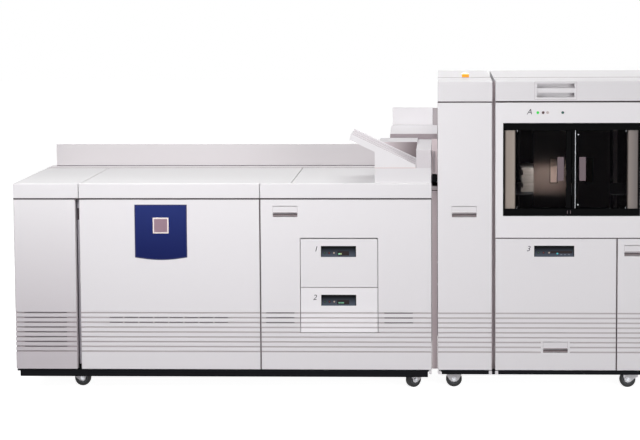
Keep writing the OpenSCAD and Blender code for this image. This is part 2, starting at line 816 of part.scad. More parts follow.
module tray_front(z0, z1) color("#e0dfe3") difference() {
    block([tray_x0 + tray_gap, front, z0], [tray_x1 - tray_gap, front + front_t, z1]);
    block([tray_x0 + display_in, front - cut, z1 - display_drop - display_h],
        [tray_x0 + display_in + display_w, front + display_d, z1 - display_drop]);
    for (i = [0 : groove_count - 1])
        if (groove_z(i) > z0 + groove_h && groove_z(i) < z1 - groove_h)
            front_grooves(tray_x0, tray_x1, [i]);
}

// A tray box with a bar on each side that runs in the slide channels
module tray_box(low, high) color("#b4b6ba") {
    x0 = tray_x0 + slide_gap;
    x1 = tray_x1 - slide_gap;
    y0 = front + front_t;
    z0 = low + box_front_gap;
    z1 = high - box_top_gap;
    difference() {
        block([x0, y0, z0], [x1, y0 + tray_len, z1]);
        block([x0 + box_t, y0 + box_t, z0 + box_t], [x1 - box_t, y0 + tray_len - box_t, z1 + cut]);
    }
    for (x = [x0 - slide_w, x1])
        block([x, y0, low + slide_z - slide_h / 2],
            [x + slide_w, y0 + tray_len, low + slide_z + slide_h / 2]);
}

// Lift plate that raises the sheets in a tray
module tray_plate(low) color("#c6c9cd") {
    z0 = low + box_front_gap + box_t + fit;
    block([tray_x0 + slide_gap + box_t + lift_gap, front + front_t + box_t + lift_gap, z0],
        [tray_x1 - slide_gap - box_t - lift_gap, front + front_t + tray_len - box_t - lift_gap, z0 + lift_t]);
}

module tower_frame() {
    y0 = front + strip_back;
    z1 = cab_seam_low;
    guide_in = 130;
    guide_back = 560;
    path_rise = 300;
    guide_y0 = front + guide_in;
    guide_y1 = front + guide_back;
    color("#dedde0") for (x = [tow_x0, tow_x1 - metal_t])
        block([x, y0, base_top], [x + metal_t, back, z1]);
    color("#d6d5d8") block([tow_x0 + metal_t + fit, back - metal_t, base_top],
        [tow_x1 - metal_t - fit, back, z1]);
    color("#a8a9ab") {
        block([tow_x0 + shell_t + fit, rail_y0, cab_seam_high],
            [tow_x1 - shell_t - fit, back - shell_t - fit, cab_seam_high + bay_plate_t]);
        // Cross plates and the upright sheet path between them
        for (y = [guide_y0, guide_y1])
            block([tow_x0 + metal_t + fit, y, base_top], [tow_x1 - metal_t - fit, y + metal_t, z1 - rail_h]);
        for (x = [(tow_x0 + tow_x1) / 2 - slide_w, (tow_x0 + tow_x1) / 2 + slide_w])
            block([x, guide_y0 + metal_t + fit, base_top + path_rise],
                [x + box_t, guide_y1 - fit, z1 - rail_h]);
    }
}

module rounded_top(x0, x1, z0, z1, y0, y1) along_x(x0, x1) {
    translate([y0 + edge_r, z0]) square([y1 - y0 - edge_r, z1 - z0]);
    translate([y0, z0]) square([y1 - y0, z1 - z0 - edge_r]);
    translate([y0 + edge_r, z1 - edge_r]) circle(edge_r);
}

module tower_top() color("#e6e5e8") difference() {
    rounded_top(tow_x0, tow_x1, cab_seam_high, cabinet_h, front, back);
    block([tow_x0 + shell_t, front + shell_t, cab_seam_high - cut],
        [tow_x1 - shell_t, back - shell_t, cabinet_h - shell_t]);
}

// Attention light on the tower, and the four indicators over the window
lamp_w = 34;
lamp_d = 30;
lamp_h = 20;
lamp_r = 8;
lamp_in = 373;
lamp_off = 7;
lamp_y = front + lamp_in;
led_r = 6.5;
led_d = 3;
led_z = (window_high + top_seam) / 2;
led_share = [0.247, 0.278, 0.304, 0.392];
led_x = [for (s = led_share) sta_x0 + s * stacker_w];

module signal_lenses() {
    lamp_x = (tow_x0 + tow_x1) / 2 + lamp_off;
    color("#f08a1c") along_y(lamp_y, lamp_y + lamp_d) {
        translate([lamp_x - lamp_w / 2, cabinet_h]) square([lamp_w, lamp_h - lamp_r]);
        translate([lamp_x - lamp_w / 2 + lamp_r, cabinet_h]) square([lamp_w - 2 * lamp_r, lamp_h]);
        for (s = [-1, 1])
            translate([lamp_x + s * (lamp_w / 2 - lamp_r), cabinet_h + lamp_h - lamp_r]) circle(lamp_r);
    }
    color("#2f7d3a") for (x = led_x)
        rod_y(front + fit, front + led_d, x, led_z, led_r);
}

module tower_door() color("#e4e3e7") difference() {
    union() {
        door_pan(tow_x0, tow_x1, cover_low, cab_seam_low);
        handle_cup(pad_tower);
    }
    front_grooves(tow_x0 - cut, tow_x1 + cut);
    handle_hollow(pad_tower);
    pin_bores(tower_hinge_x, cover_low, cab_seam_low);
}

// Tray 3 box places
t3_slide_gap = 26;
t3_x0 = sta_x0 + t3_slide_gap + slide_w;
t3_x1 = tray3_x1 - t3_slide_gap - slide_w;
t3_z0 = cover_low + box_front_gap;
t3_top_gap = 70;
t3_z1 = feeder_top - t3_top_gap;
t3_slide_rise = 110;
t3_slide_drop = 220;
t3_slide = [cover_low + t3_slide_rise, feeder_top - t3_slide_drop];
t3_wall_in = 8;
t3_wall = tray3_x1 - t3_wall_in;

module stacker_frame() {
    y0 = front + strip_back;
    z1 = cab_seam_low;
    color("#dddcdf") {
        block([sta_x0, y0, base_top], [sta_x0 + metal_t, back, z1]);
        difference() {
            block([sta_x1 - metal_t, y0, base_top], [sta_x1, back, z1]);
            for (p = dock_at)
                rod_x(sta_x1 - metal_t - cut, sta_x1 + cut, p[0], p[1], dock_r);
        }
        block([sta_x0 + metal_t + fit, back - metal_t, base_top], [sta_x1 - metal_t - fit, back, z1]);
    }
    x0 = sta_x0 + metal_t + fit;
    x1 = sta_x1 - metal_t - fit;
    y1 = back - metal_t - fit;
    color("#a8a9ab") {
        block([x0, y0, z1 - bay_plate_t], [x1, y1, z1]);
        block([x0, y0, bay_floor - bay_plate_t], [x1, y1, bay_floor]);
        for (x = [win_x0 - slide_w, win_x1 + slide_w])
            block([x, y0, bay_floor + fit], [x + metal_t, y1, z1 - bay_plate_t - fit]);
        for (x = [win_x0 + rod_in, win_x1 - rod_in])
            rod_z(bay_floor + fit, z1 - bay_plate_t - fit, x, rod_y, rod_r);
        // Wall between tray 3 and the lower door, with the slide channels
        block([t3_wall, y0, base_top], [t3_wall + metal_t, y1, bay_floor - bay_plate_t - fit]);
        wide = t3_slide_gap - metal_t + slide_w;
        for (z = t3_slide) {
            difference() {
                block([x0, plate_y0, z - slide_h / 2 - fit - metal_t],
                    [t3_x0 - fit, front + door_t + tray3_len + top_t, z + slide_h / 2 + fit + metal_t]);
                block([t3_x0 - slide_w - 2 * fit, plate_y0 - cut, z - slide_h / 2 - fit],
                    [t3_x0, front + door_t + tray3_len + top_t + cut, z + slide_h / 2 + fit]);
            }
            difference() {
                block([t3_x1 + fit, plate_y0, z - slide_h / 2 - fit - metal_t],
                    [t3_wall, front + door_t + tray3_len + top_t, z + slide_h / 2 + fit + metal_t]);
                block([t3_x1, plate_y0 - cut, z - slide_h / 2 - fit],
                    [t3_x1 + slide_w + 2 * fit, front + door_t + tray3_len + top_t + cut,
                        z + slide_h / 2 + fit]);
            }
        }
    }
}

// Docking holes in the right side, where the next module bolts on
dock_r = 5;
dock_in = 150;
dock_rise = 82;
dock_drop = 170;
dock_y = [front + dock_in, back - dock_in];
dock_z = [cover_low + dock_rise, top_seam - dock_drop];
dock_at = [for (y = dock_y, z = dock_z) [y, z]];

module bay_surround() color("#e5e4e7") difference() {
    translate([sta_x0, front, surround_low]) linear_extrude(cab_seam_low - surround_low)
        round_front(stacker_w, door_t, door_r);
    block([sta_x0 + rim_t, front + skin_t, surround_low + rim_t],
        [sta_x1 - rim_t, front + door_t + cut, window_low - rim_t]);
    block([sta_x0 + rim_t, front + skin_t, window_high + rim_t],
        [sta_x1 - rim_t, front + door_t + cut, cab_seam_low - rim_t]);
    block([win_x0, front - cut, window_low], [win_x1, front + door_t + cut, window_high]);
    for (x = led_x)
        rod_y(front - cut, front + led_d + fit, x, led_z, led_r + fit);
}

module window_frame() color("#17181c") difference() {
    depth = 58;
    block([win_x0 + fit, front + base_setback, window_low + fit],
        [win_x1 - fit, front + depth, window_high - fit]);
    block([win_x0 + frame_side, front - cut, window_low + frame_bar],
        [win_x1 - frame_side, front + depth + cut, window_high - frame_bar]);
    for (x = [pane_x0 + pane_pin_in, pane_x1 - pane_pin_in])
        rod_z(window_low + frame_bar - pane_pin_seat, window_high - frame_bar + pane_pin_seat,
            x, pane_y, pane_pin_r + play);
}

module bay_pillars() color("#a39b90") {
    y0 = front + pane_back;
    for (x = [win_x0 + frame_side + fit, win_x1 - frame_side - fit - pillar_w])
        translate([0, 0, window_low + frame_bar + fit])
            linear_extrude(window_high - window_low - 2 * frame_bar - 2 * fit) {
                for (px = [x + pillar_r, x + pillar_w - pillar_r])
                    translate([px, y0 + pillar_r]) circle(pillar_r);
                translate([x + pillar_r, y0]) square([pillar_w - 2 * pillar_r, pillar_d]);
                translate([x, y0 + pillar_r]) square([pillar_w, pillar_d - pillar_r]);
            }
}

// A smoked pane with a finger hole, and bores for its pivot pins
pull_w = 30;
pull_share = 0.3103;
pull_h = (pane_z1 - pane_z0) * pull_share;
pull_in = 66;
pull_drop = 5;
pull_z = (window_low + window_high) / 2 - pull_drop;
module pane(x0, x1, hinge_x, hole_x) color("#2a2625", 0.6) difference() {
    block([x0, front + pane_back, pane_z0], [x1, front + pane_back + pane_t, pane_z1]);
    block([hole_x, front, pull_z - pull_h / 2], [hole_x + pull_w, front + pane_back + pane_t + cut,
        pull_z + pull_h / 2]);
    for (z = [pane_z0 - cut, pane_z1 - rim_t - cut])
        rod_z(z, z + rim_t + 2 * cut, hinge_x, pane_y, pane_pin_r + play);
}

pane_mid = (pane_x0 + pane_x1) / 2;
module window_door_left()
    pane(pane_x0, pane_mid - pane_gap / 2, pane_x0 + pane_pin_in, pane_mid - pane_gap / 2 - pull_in - pull_w);
module window_door_right()
    pane(pane_mid + pane_gap / 2, pane_x1, pane_x1 - pane_pin_in, pane_mid + pane_gap / 2 + pull_in);

// Lift platform on the two guide rods
deck_over = 28;
deck_in = 90;
deck_x0 = win_x0 + rod_in - deck_over;
deck_x1 = win_x1 - rod_in + deck_over;
deck_y0 = front + deck_in;
boss_r = 19;
boss_h = 46;
module stack_platform() color("#8c8f94") difference() {
    union() {
        block([deck_x0, deck_y0, deck_z - deck_t], [deck_x1, rod_y, deck_z]);
        for (x = [win_x0 + rod_in, win_x1 - rod_in])
            rod_z(deck_z - boss_h, deck_z, x, rod_y, boss_r);
    }
    for (x = [win_x0 + rod_in, win_x1 - rod_in])
        rod_z(deck_z - boss_h - cut, deck_z + cut, x, rod_y, rod_r + play);
}

paper_in = 91;
paper_back = 200;
paper_x = win_x0 + paper_in;
paper_y = front + paper_back;
module paper_stack() color("#cfc4b8")
    block([paper_x, paper_y, deck_z], [paper_x + paper_w, paper_y + paper_l, deck_z + paper_h]);

// Grip of the top cover: a recess with a bar across it
grip_w = 173;
grip_h = 64;
grip_d = 45;
grip_in = 277;
grip_drop = 44;
grip_x = sta_x0 + grip_in;
grip_z = cabinet_h - grip_drop;
bar_h = 22;
bar_t = 12;
bar_in = 4;
module top_cover() color("#e6e5e8") {
    g0 = grip_x - grip_w / 2;
    g1 = grip_x + grip_w / 2;
    difference() {
        union() {
            difference() {
                rounded_top(sta_x0, sta_x1, cab_seam_high, cabinet_h, front, back);
                block([sta_x0 + shell_t, front + shell_t, cab_seam_high - cut],
                    [sta_x1 - shell_t, back - shell_t, cabinet_h - shell_t]);
            }
            block([g0 - cup_t, front + shell_t - fit, grip_z - grip_h / 2 - cup_t],
                [g1 + cup_t, front + grip_d + cup_t, grip_z + grip_h / 2 + cup_t]);
        }
        difference() {
            block([g0, front - cut, grip_z - grip_h / 2], [g1, front + grip_d, grip_z + grip_h / 2]);
            block([g0 - cut, front + bar_in, grip_z - bar_h / 2],
                [g1 + cut, front + bar_in + bar_t, grip_z + bar_h / 2]);
        }
    }
}

module tray_3_front() color("#dedde1") {
    clear = 10;
    difference() {
        union() {
            door_pan(sta_x0, tray3_x1 - seam / 2, cover_low, feeder_top);
            handle_cup(pad_tray3);
            // Ribs that carry the box
            for (x = [t3_x0 + top_t, t3_x1 - top_t - rim_t])
                block([x, front + skin_t - fit, t3_z0], [x + rim_t, front + door_t, t3_z1]);
            block([d3_x0 - cup_t, front + skin_t - fit, d3_z1 - display_h - cup_t],
                [d3_x0 + display3_w + cup_t, front + display_d + cup_t, d3_z1 + cup_t]);
        }
        front_grooves(sta_x0 - cut, tray3_x1 + cut, [0 : groove_count - 4]);
        low_rows = [groove_count - 3 : groove_count - 1];
        front_grooves(sta_x0 - cut, pad_tray3[0] - handle_w / 2 - clear, low_rows);
        front_grooves(pad_tray3[0] + handle_w / 2 + clear, tray3_x1 + cut, low_rows);
        handle_hollow(pad_tray3);
        block([d3_x0, front - cut, d3_z1 - display_h], [d3_x0 + display3_w, front + display_d, d3_z1]);
    }
}
display3_in = 180;
display3_drop = 32;
d3_x0 = sta_x0 + display3_in;
d3_z1 = feeder_top - display3_drop;

module tray_3_box() color("#b4b6ba") {
    y0 = front + door_t;
    difference() {
        block([t3_x0, y0, t3_z0], [t3_x1, y0 + tray3_len, t3_z1]);
        block([t3_x0 + box_t, y0 + box_t, t3_z0 + box_t],
            [t3_x1 - box_t, y0 + tray3_len - box_t, t3_z1 + cut]);
    }
    for (x = [t3_x0 - slide_w, t3_x1], z = t3_slide)
        block([x, y0, z - slide_h / 2], [x + slide_w, y0 + tray3_len, z + slide_h / 2]);
}

module tray_3_plate() color("#c6c9cd")
    block([t3_x0 + box_t + lift_gap, front + door_t + box_t + lift_gap, t3_z0 + box_t + fit],
        [t3_x1 - box_t - lift_gap, front + door_t + tray3_len - box_t - lift_gap,
            t3_z0 + box_t + fit + lift_t]);

module lower_door() color("#dddce0") difference() {
    union() {
        door_pan(tray3_x1 + seam / 2, sta_x1, cover_low, feeder_top);
        handle_cup(pad_lower);
    }
    front_grooves(tray3_x1, sta_x1 + cut);
    handle_hollow(pad_lower);
    pin_bores(lower_hinge_x, cover_low, feeder_top);
}

module tray_door_latch() color("#eceaee") paddle(pad_tray);
module tower_latch() color("#eceaee") paddle(pad_tower);
module tray_3_handle() color("#e6e5e9") paddle(pad_tray3);
module lower_latch() color("#e6e5e9") paddle(pad_lower);

tray_top_gap = 5;
tray_top_z = tray_high - tray_top_gap;
module tray_1_box() tray_box(tray_mid, tray_high);
module tray_1_front() tray_front(tray_mid + tray_gap / 2, tray_top_z);
module tray_1_plate() tray_plate(tray_mid);
module tray_2_box() tray_box(tray_low, tray_mid);
module tray_2_front() tray_front(tray_low + tray_gap, tray_mid - tray_gap / 2);
module tray_2_plate() tray_plate(tray_low);

// Clips at the foot of both gaps, the docking latch beside the sample tray, and the docking bolts
module docking_parts() {
    bolt_r = 6;
    tab_w = 14;
    tab_h = 17;
    latch_h = 150;
    latch_d = 50;
    latch_t = 9;
    latch_in = 60;
    latch_seat = 2;
    latch_y = front + latch_in;
    color("#e8e6e8") for (gap = [[eng_x1, tow_x0], [tow_x1, sta_x0]], s = [0, 1])
        block([gap[s] - (1 - s) * tab_w, front, base_top - tab_h],
            [gap[s] + s * tab_w, front + base_setback, base_top]);
    color("#b9bcc0") for (y = [cab_y0, eng_y1])
        rod_x(eng_x1 - side_t, tow_x0, y, worktop_h / 2, bolt_r);
    color("#1c1d20")
        block([tow_x0 - latch_t, latch_y, worktop_h],
            [tow_x0, latch_y + latch_d, worktop_h + latch_h]);
    color("#b9bcc0")
        block([eng_x1 - latch_seat, latch_y, worktop_h + base_h / 2],
            [eng_x1 - latch_seat + latch_t, latch_y + latch_d, worktop_h + latch_h]);
}

// Side plate of a fork in X and Z, round at the axle, for an axle at a distance from the pivot
module fork_plate(reach, top) {
    half = fork_reach;
    polygon([[min(-half, reach - half), top], [max(half, reach + half), top],
        [max(half, reach + half), wheel_r + fork_end_r], [reach + fork_end_r, wheel_r],
        [reach - fork_end_r, wheel_r], [min(-half, reach - half), wheel_r + fork_end_r]]);
    translate([reach, wheel_r]) circle(fork_end_r);
}

// A fork with its crown and axle, the pivot at the origin
module fork(reach, top, stem) {
    inner = wheel_w / 2 + fork_gap;
    for (s = [-1, 1])
        translate([0, s * (inner + fork_t / 2), 0])
            along_y(-fork_t / 2, fork_t / 2) fork_plate(reach, top);
    x0 = min(-fork_reach, reach - fork_reach);
    x1 = max(fork_reach, reach + fork_reach);
    block([x0, -inner - fit, top - crown_t], [x1, inner + fit, top]);
    rod_y(-inner - 2 * fork_t, inner + 2 * fork_t, reach, wheel_r, axle_r);
    if (stem)
        rod_z(top - fit, base_top, 0, 0, stem_r);
}

module fixed_forks() color("#b7b9bc") for (p = fixed_forks_at)
    translate([p[0], p[1], 0]) fork(0, plate_low, false);

module swivel_fork(i) color("#b7b9bc")
    translate([swivels[i][0], swivels[i][1], 0]) rotate([0, 0, swivels[i][2]])
        fork(trail, crown_top, true);

// A wheel with round tyre edges, its axle along Y
module wheel() {
    tyre_r = 4;
    hub_r = 16;
    hub_w = wheel_w + 2 * fork_gap - 4 * fit;
    color("#15161a") rotate([90, 0, 0]) rotate_extrude() {
        translate([axle_r + play, -hub_w / 2]) square([hub_r - axle_r - play, hub_w]);
        translate([hub_r - fit, -wheel_w / 2]) square([wheel_r - tyre_r - hub_r + fit, wheel_w]);
        translate([hub_r, -wheel_w / 2 + tyre_r]) square([wheel_r - hub_r, wheel_w - 2 * tyre_r]);
        for (s = [-1, 1])
            translate([wheel_r - tyre_r, s * (wheel_w / 2 - tyre_r)]) circle(tyre_r);
    }
}

module swivel_wheel(i) translate([swivels[i][0], swivels[i][1], 0]) rotate([0, 0, swivels[i][2]])
    translate([trail, 0, wheel_r]) wheel();

module fixed_wheel(i) translate([fixed_forks_at[i][0], fixed_forks_at[i][1], wheel_r]) wheel();

base_frames();
engine_frame();
end_cover();
engine_fascia();
worktop_panels();
rear_wall();
back_cover();
crossover_housing();
sample_tray();
hinge_pins();
belt_module();
fuser_housing();
electronics_cage();
tower_frame();
tower_top();
signal_lenses();
stacker_frame();
bay_surround();
window_frame();
bay_pillars();
docking_parts();
fixed_forks();
worktop_cover();
emblem_door();
tray_door();
tray_door_latch();
tray_1_box();
tray_1_front();
tray_1_plate();
tray_2_box();
tray_2_front();
tray_2_plate();
crossover_cover();
fuser_roll();
pressure_roll();
tower_door();
tower_latch();
top_cover();
window_door_left();
window_door_right();
stack_platform();
paper_stack();
tray_3_box();
tray_3_front();
tray_3_plate();
tray_3_handle();
lower_door();
lower_latch();
swivel_fork(0);  // fork_1
swivel_fork(1);  // fork_2
swivel_fork(2);  // fork_3
swivel_fork(3);  // fork_4
swivel_wheel(0);  // wheel_1
swivel_wheel(1);  // wheel_2
swivel_wheel(2);  // wheel_3
swivel_wheel(3);  // wheel_4
fixed_wheel(0);  // wheel_5
fixed_wheel(1);  // wheel_6
fixed_wheel(2);  // wheel_7
fixed_wheel(3);  // wheel_8
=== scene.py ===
# %% [markdown]
# # A digital production printer
#
# The real machine is three docked modules: a long low print engine, a narrow transport tower and
# a tall stacker cabinet. Its solids, sizes and joints come from the imported CAD model. This script
# dresses that model: it lights the machine as in the photograph, gives each CAD node its real
# material, with painted light and shade on some, and adds the thin trim, displays, digits, painted
# shade in the seams, sheets and fasteners.
#
# Lengths are in millimetres up to the moment when a mesh is made, and in metres from then on.

# %% Imports
import math
import random

import bmesh
import bpy
from mathutils import Matrix, Vector


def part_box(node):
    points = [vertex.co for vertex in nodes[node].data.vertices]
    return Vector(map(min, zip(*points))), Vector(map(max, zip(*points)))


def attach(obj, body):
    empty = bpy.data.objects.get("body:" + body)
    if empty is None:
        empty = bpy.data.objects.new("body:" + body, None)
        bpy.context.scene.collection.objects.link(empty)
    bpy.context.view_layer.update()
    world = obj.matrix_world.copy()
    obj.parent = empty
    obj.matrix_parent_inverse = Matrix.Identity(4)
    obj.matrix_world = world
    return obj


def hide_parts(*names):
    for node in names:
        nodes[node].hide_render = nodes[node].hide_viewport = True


MM = 0.001
FRONT = -575.0  # Y of the plane in which all the front faces lie, in mm
scene = bpy.context.scene

# %% [markdown]
# ## Camera
#
# The photograph was taken square to the fronts, with its vanishing point far above the middle of
# the picture. A large lens shift could follow that, but it would also move every other view of the
# machine, so a small shift and a slight tilt share the work. The values were fitted to 90 points
# of the machine.

# %% Camera
CAM_PLACE = (0.4908, -9.5330, 1.8760)  # metres
CAM_YAW, CAM_PITCH, CAM_ROLL = 1.9527, -4.9375, -0.2204  # degrees
CAM_SENSOR, CAM_LENS = 36.0, 109.138  # mm
CAM_SHIFT = (-0.09, -0.10)
CAM_REACH = 100.0  # metres

cam_data = bpy.data.cameras.new("camera")
cam_data.sensor_width = CAM_SENSOR
cam_data.lens = CAM_LENS
cam_data.shift_x, cam_data.shift_y = CAM_SHIFT
cam_data.clip_end = CAM_REACH
camera = bpy.data.objects.new("camera", cam_data)
scene.collection.objects.link(camera)
turn = (Matrix.Rotation(math.radians(CAM_YAW), 4, "Z")
        @ Matrix.Rotation(math.radians(90.0 + CAM_PITCH), 4, "X")
        @ Matrix.Rotation(math.radians(CAM_ROLL), 4, "Z"))
camera.matrix_world = Matrix.Translation(CAM_PLACE) @ turn
scene.camera = camera
print("camera", CAM_PLACE, "lens", CAM_LENS)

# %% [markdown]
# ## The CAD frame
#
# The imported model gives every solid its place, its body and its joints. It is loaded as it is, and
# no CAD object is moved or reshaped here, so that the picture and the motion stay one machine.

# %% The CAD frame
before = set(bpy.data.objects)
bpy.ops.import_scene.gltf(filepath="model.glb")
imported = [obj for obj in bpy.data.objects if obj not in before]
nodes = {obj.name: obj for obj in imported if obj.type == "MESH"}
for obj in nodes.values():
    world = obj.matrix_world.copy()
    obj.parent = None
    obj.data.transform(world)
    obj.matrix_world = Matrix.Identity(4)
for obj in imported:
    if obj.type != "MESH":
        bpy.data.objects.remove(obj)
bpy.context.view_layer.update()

# %% [markdown]
# ## Colours and shader nodes
#
# Every colour is written as the sRGB hex value that one reads off a picture, and converted once,
# because shaders count in linear light. One small function adds a shader node with its settings
# and links, so that each finish below reads as a short list. Patterns use Object coordinates: the
# objects stand at the origin, in metres, so a noise of scale 1000 / s has features s millimetres
# across, and a colour that changes along the machine reads X, Y or Z.


# %% Shader helpers
def colour(hex_code):
    """The linear colour of an sRGB hex value."""
    value = [int(hex_code[i:i + 2], 16) / 255.0 for i in (0, 2, 4)]
    return (*(v / 12.92 if v <= 0.04045 else ((v + 0.055) / 1.055) ** 2.4 for v in value), 1.0)


def add(tree, kind, inputs=(), stops=(), **props):
    """Adds a node. Inputs map a socket to a value or to an output socket of another node, and
    stops give a colour ramp its places, from 0 to 1, and its hex colours."""
    node = tree.nodes.new(kind)
    for key, value in props.items():
        setattr(node, key, value)
    for key, value in dict(inputs).items():
        if isinstance(value, bpy.types.NodeSocket):
            tree.links.new(value, node.inputs[key])
        else:
            node.inputs[key].default_value = value
    if stops:
        elements = node.color_ramp.elements
        while len(elements) < len(stops):
            elements.new(0.5)
        for element, (at, code) in zip(elements, stops):
            element.position = at
            element.color = colour(code)
    return node


# The Mix node has one pair of sockets for each kind of value; these are its colour sockets
MIX_A, MIX_B, MIX_OUT = 6, 7, 2


def place_in(tree):
    """Where a point of the surface lies on the machine: its X, Y and Z, in metres."""
    spot = add(tree, "ShaderNodeTexCoord").outputs["Object"]
    return add(tree, "ShaderNodeSeparateXYZ", {"Vector": spot}).outputs


def paint_with(mat, tone):
    """Gives a material its base colour from the output socket of a node."""
    mat.node_tree.links.new(tone, mat.node_tree.nodes["Principled BSDF"].inputs["Base Color"])
    return mat


# %% [markdown]
# ## Finishes
#
# Nearly all that one sees of the real machine is pale moulded plastic and painted sheet. Both could
# be one flat grey-white, but then the fronts look like paper. A fine grain in the normal breaks up
# the highlights as on a moulding from a spark-eroded tool, and patches a hand wide, where the gloss
# wanders, make the large panels look sprayed. The grain of a real moulding is about 0.5 mm, too
# fine to show here, so it is drawn two to three times as coarse.

# %% The basic finish
NOISE_DETAIL = 2.0
MOTTLE_MM = 260.0


def material(name, hex_code, rough=0.5, metal=0.0, grain=None, mottle=0.0, coat=0.0,
             transmission=0.0, ior=1.5, glow=0.0, specular=0.5):
    """A real material: its colour, gloss, surface grain (size and height in mm) and mottling."""
    mat = bpy.data.materials.new(name)
    mat.use_nodes = True
    tree = mat.node_tree
    bsdf = tree.nodes["Principled BSDF"]
    for socket, value in (("Base Color", colour(hex_code)), ("Roughness", rough),
                          ("Metallic", metal), ("Coat Weight", coat),
                          ("Transmission Weight", transmission), ("IOR", ior),
                          ("Specular IOR Level", specular)):
        bsdf.inputs[socket].default_value = value
    if glow:
        bsdf.inputs["Emission Color"].default_value = colour(hex_code)
        bsdf.inputs["Emission Strength"].default_value = glow
    if mottle:
        spot = add(tree, "ShaderNodeTexCoord").outputs["Object"]
        patches = add(tree, "ShaderNodeTexNoise", {"Vector": spot, "Scale": 1000.0 / MOTTLE_MM,
                                                   "Detail": NOISE_DETAIL})
        level = add(tree, "ShaderNodeMapRange", {"Value": patches.outputs["Fac"],
                                                "To Min": rough - mottle,
                                                "To Max": rough + mottle})
        tree.links.new(level.outputs[0], bsdf.inputs["Roughness"])
    if grain:
        size, height = grain
        spot = add(tree, "ShaderNodeTexCoord").outputs["Object"]
        bumps = add(tree, "ShaderNodeTexNoise", {"Vector": spot, "Scale": 1000.0 / size,
                                                 "Detail": NOISE_DETAIL})
        bump = add(tree, "ShaderNodeBump", {"Height": bumps.outputs["Fac"], "Strength": 1.0,
                                            "Distance": height * MM})
        tree.links.new(bump.outputs[0], bsdf.inputs["Normal"])
    return mat


# %% [markdown]
# ### Grooved mouldings
#
# The doors and drawer fronts are hollow mouldings with shallow grooves along their lower half. The
# grooves are real in the CAD solids, but soft studio light fills them, so their shade is painted:
# the paint turns grey from 1 to 5 mm behind the front plane. A groove could get a mesh of its own in
# a darker paint. Here the paint reads how far a point lies behind the front plane, because all
# fronts share that plane. A painted fade with the height adds painted shade towards the floor at the
# left end, and painted light at the foot of the lower drawer.


# %% Grooved mouldings
GROOVE_REACH = 12.0  # mm behind the front plane, the length of the ramp of colours


def moulding(name, hex_code, groove_shade_hex, painted_light_fade=None):
    """Painted moulding with painted shade from 1 to 5 mm behind the front plane, in its grooves. A
    painted light fade gives the colour at the foot, the colour at the head, and the two heights in
    mm."""
    mat = material(name, hex_code, 0.52, grain=(1.4, 0.03), mottle=0.03, specular=0.3)
    tree = mat.node_tree
    place = place_in(tree)
    depth = add(tree, "ShaderNodeMapRange", {"Value": place["Y"], "From Min": FRONT * MM,
                                            "From Max": (FRONT + GROOVE_REACH) * MM})
    tone = add(tree, "ShaderNodeValToRGB", {"Fac": depth.outputs[0]}, stops=(
        (0.0, hex_code), (0.06, hex_code), (0.16, groove_shade_hex), (0.45, groove_shade_hex),
        (0.8, hex_code))).outputs[0]
    if painted_light_fade:
        foot_hex, head_hex, z_low, z_high = painted_light_fade
        rise = add(tree, "ShaderNodeMapRange", {"Value": place["Z"], "From Min": z_low * MM,
                                               "From Max": z_high * MM})
        fade = add(tree, "ShaderNodeMix", {"Factor": rise.outputs[0], MIX_A: colour(foot_hex),
                                           MIX_B: colour(head_hex)}, data_type="RGBA")
        tone = add(tree, "ShaderNodeMix", {"Factor": 1.0, MIX_A: tone,
                                           MIX_B: fade.outputs[MIX_OUT]},
                   data_type="RGBA", blend_type="MULTIPLY").outputs[MIX_OUT]
    return paint_with(mat, tone)


# %% [markdown]
# ### Colours that change along the machine
#
# Some pieces show more than one colour: the row of indicator lenses, and the two bay pillars, the
# crossover's column and some panels, which carry painted shade and painted light that change along
# them. They could be cut into many objects. One material that reads the place of each point does the
# same with no cut, and moves along with a piece when a door opens.

# %% Colours that change along the machine
LAMP_FOOT = 1.462  # metres; the attention lamp's dome stands above this height


def fade_material(name, low_hex, high_hex, low, high, rough=0.3, coat=0.3, specular=0.5,
                  axis="Z"):
    """A colour that fades along an axis, between two places in mm."""
    mat = material(name, low_hex, rough=rough, coat=coat, specular=specular)
    tree = mat.node_tree
    along = add(tree, "ShaderNodeMapRange", {"Value": place_in(tree)[axis],
                                            "From Min": low * MM, "From Max": high * MM})
    tone = add(tree, "ShaderNodeMix", {"Factor": along.outputs[0], MIX_A: colour(low_hex),
                                       MIX_B: colour(high_hex)}, data_type="RGBA")
    return paint_with(mat, tone.outputs[MIX_OUT])


def lens_material(name):
    """One lens colour for each indicator of the row, chosen by its place, and a lit attention
    lamp above them."""
    mat = material(name, "20b030", rough=0.25, coat=0.6)
    tree = mat.node_tree
    bsdf = tree.nodes["Principled BSDF"]
    place = place_in(tree)
    row = add(tree, "ShaderNodeValToRGB", {"Fac": place["X"]}, stops=(
        (0.0, "f2a01a"), (0.80, "22c33c"), (0.938, "3a0d12"), (0.961, "b2a6a4"),
        (1.0, "17463f")))
    row.color_ramp.interpolation = "CONSTANT"
    top = add(tree, "ShaderNodeMath", {0: place["Z"], 1: LAMP_FOOT}, operation="GREATER_THAN")
    lamp = add(tree, "ShaderNodeMix", {"Factor": top.outputs[0], MIX_A: row.outputs[0],
                                       MIX_B: colour("ffe68c")}, data_type="RGBA")
    tree.links.new(lamp.outputs[MIX_OUT], bsdf.inputs["Emission Color"])
    bsdf.inputs["Emission Strength"].default_value = 0.25
    return paint_with(mat, lamp.outputs[MIX_OUT])


def pillar_material(name):
    """Satin moulding of the two bay pillars, with painted shade that darkens from left to right."""
    mat = material(name, "8c8279", 0.5, grain=(1.4, 0.02))
    tree = mat.node_tree
    across = add(tree, "ShaderNodeMapRange", {"Value": place_in(tree)["X"], "From Min": 0.77,
                                             "From Max": 1.40})
    tone = add(tree, "ShaderNodeValToRGB", {"Fac": across.outputs[0]}, stops=(
        (0.0, "8a7e75"), (0.085, "968b81"), (0.90, "857b75"), (0.95, "6c635f"),
        (0.99, "4a4340")))
    return paint_with(mat, tone.outputs[0])


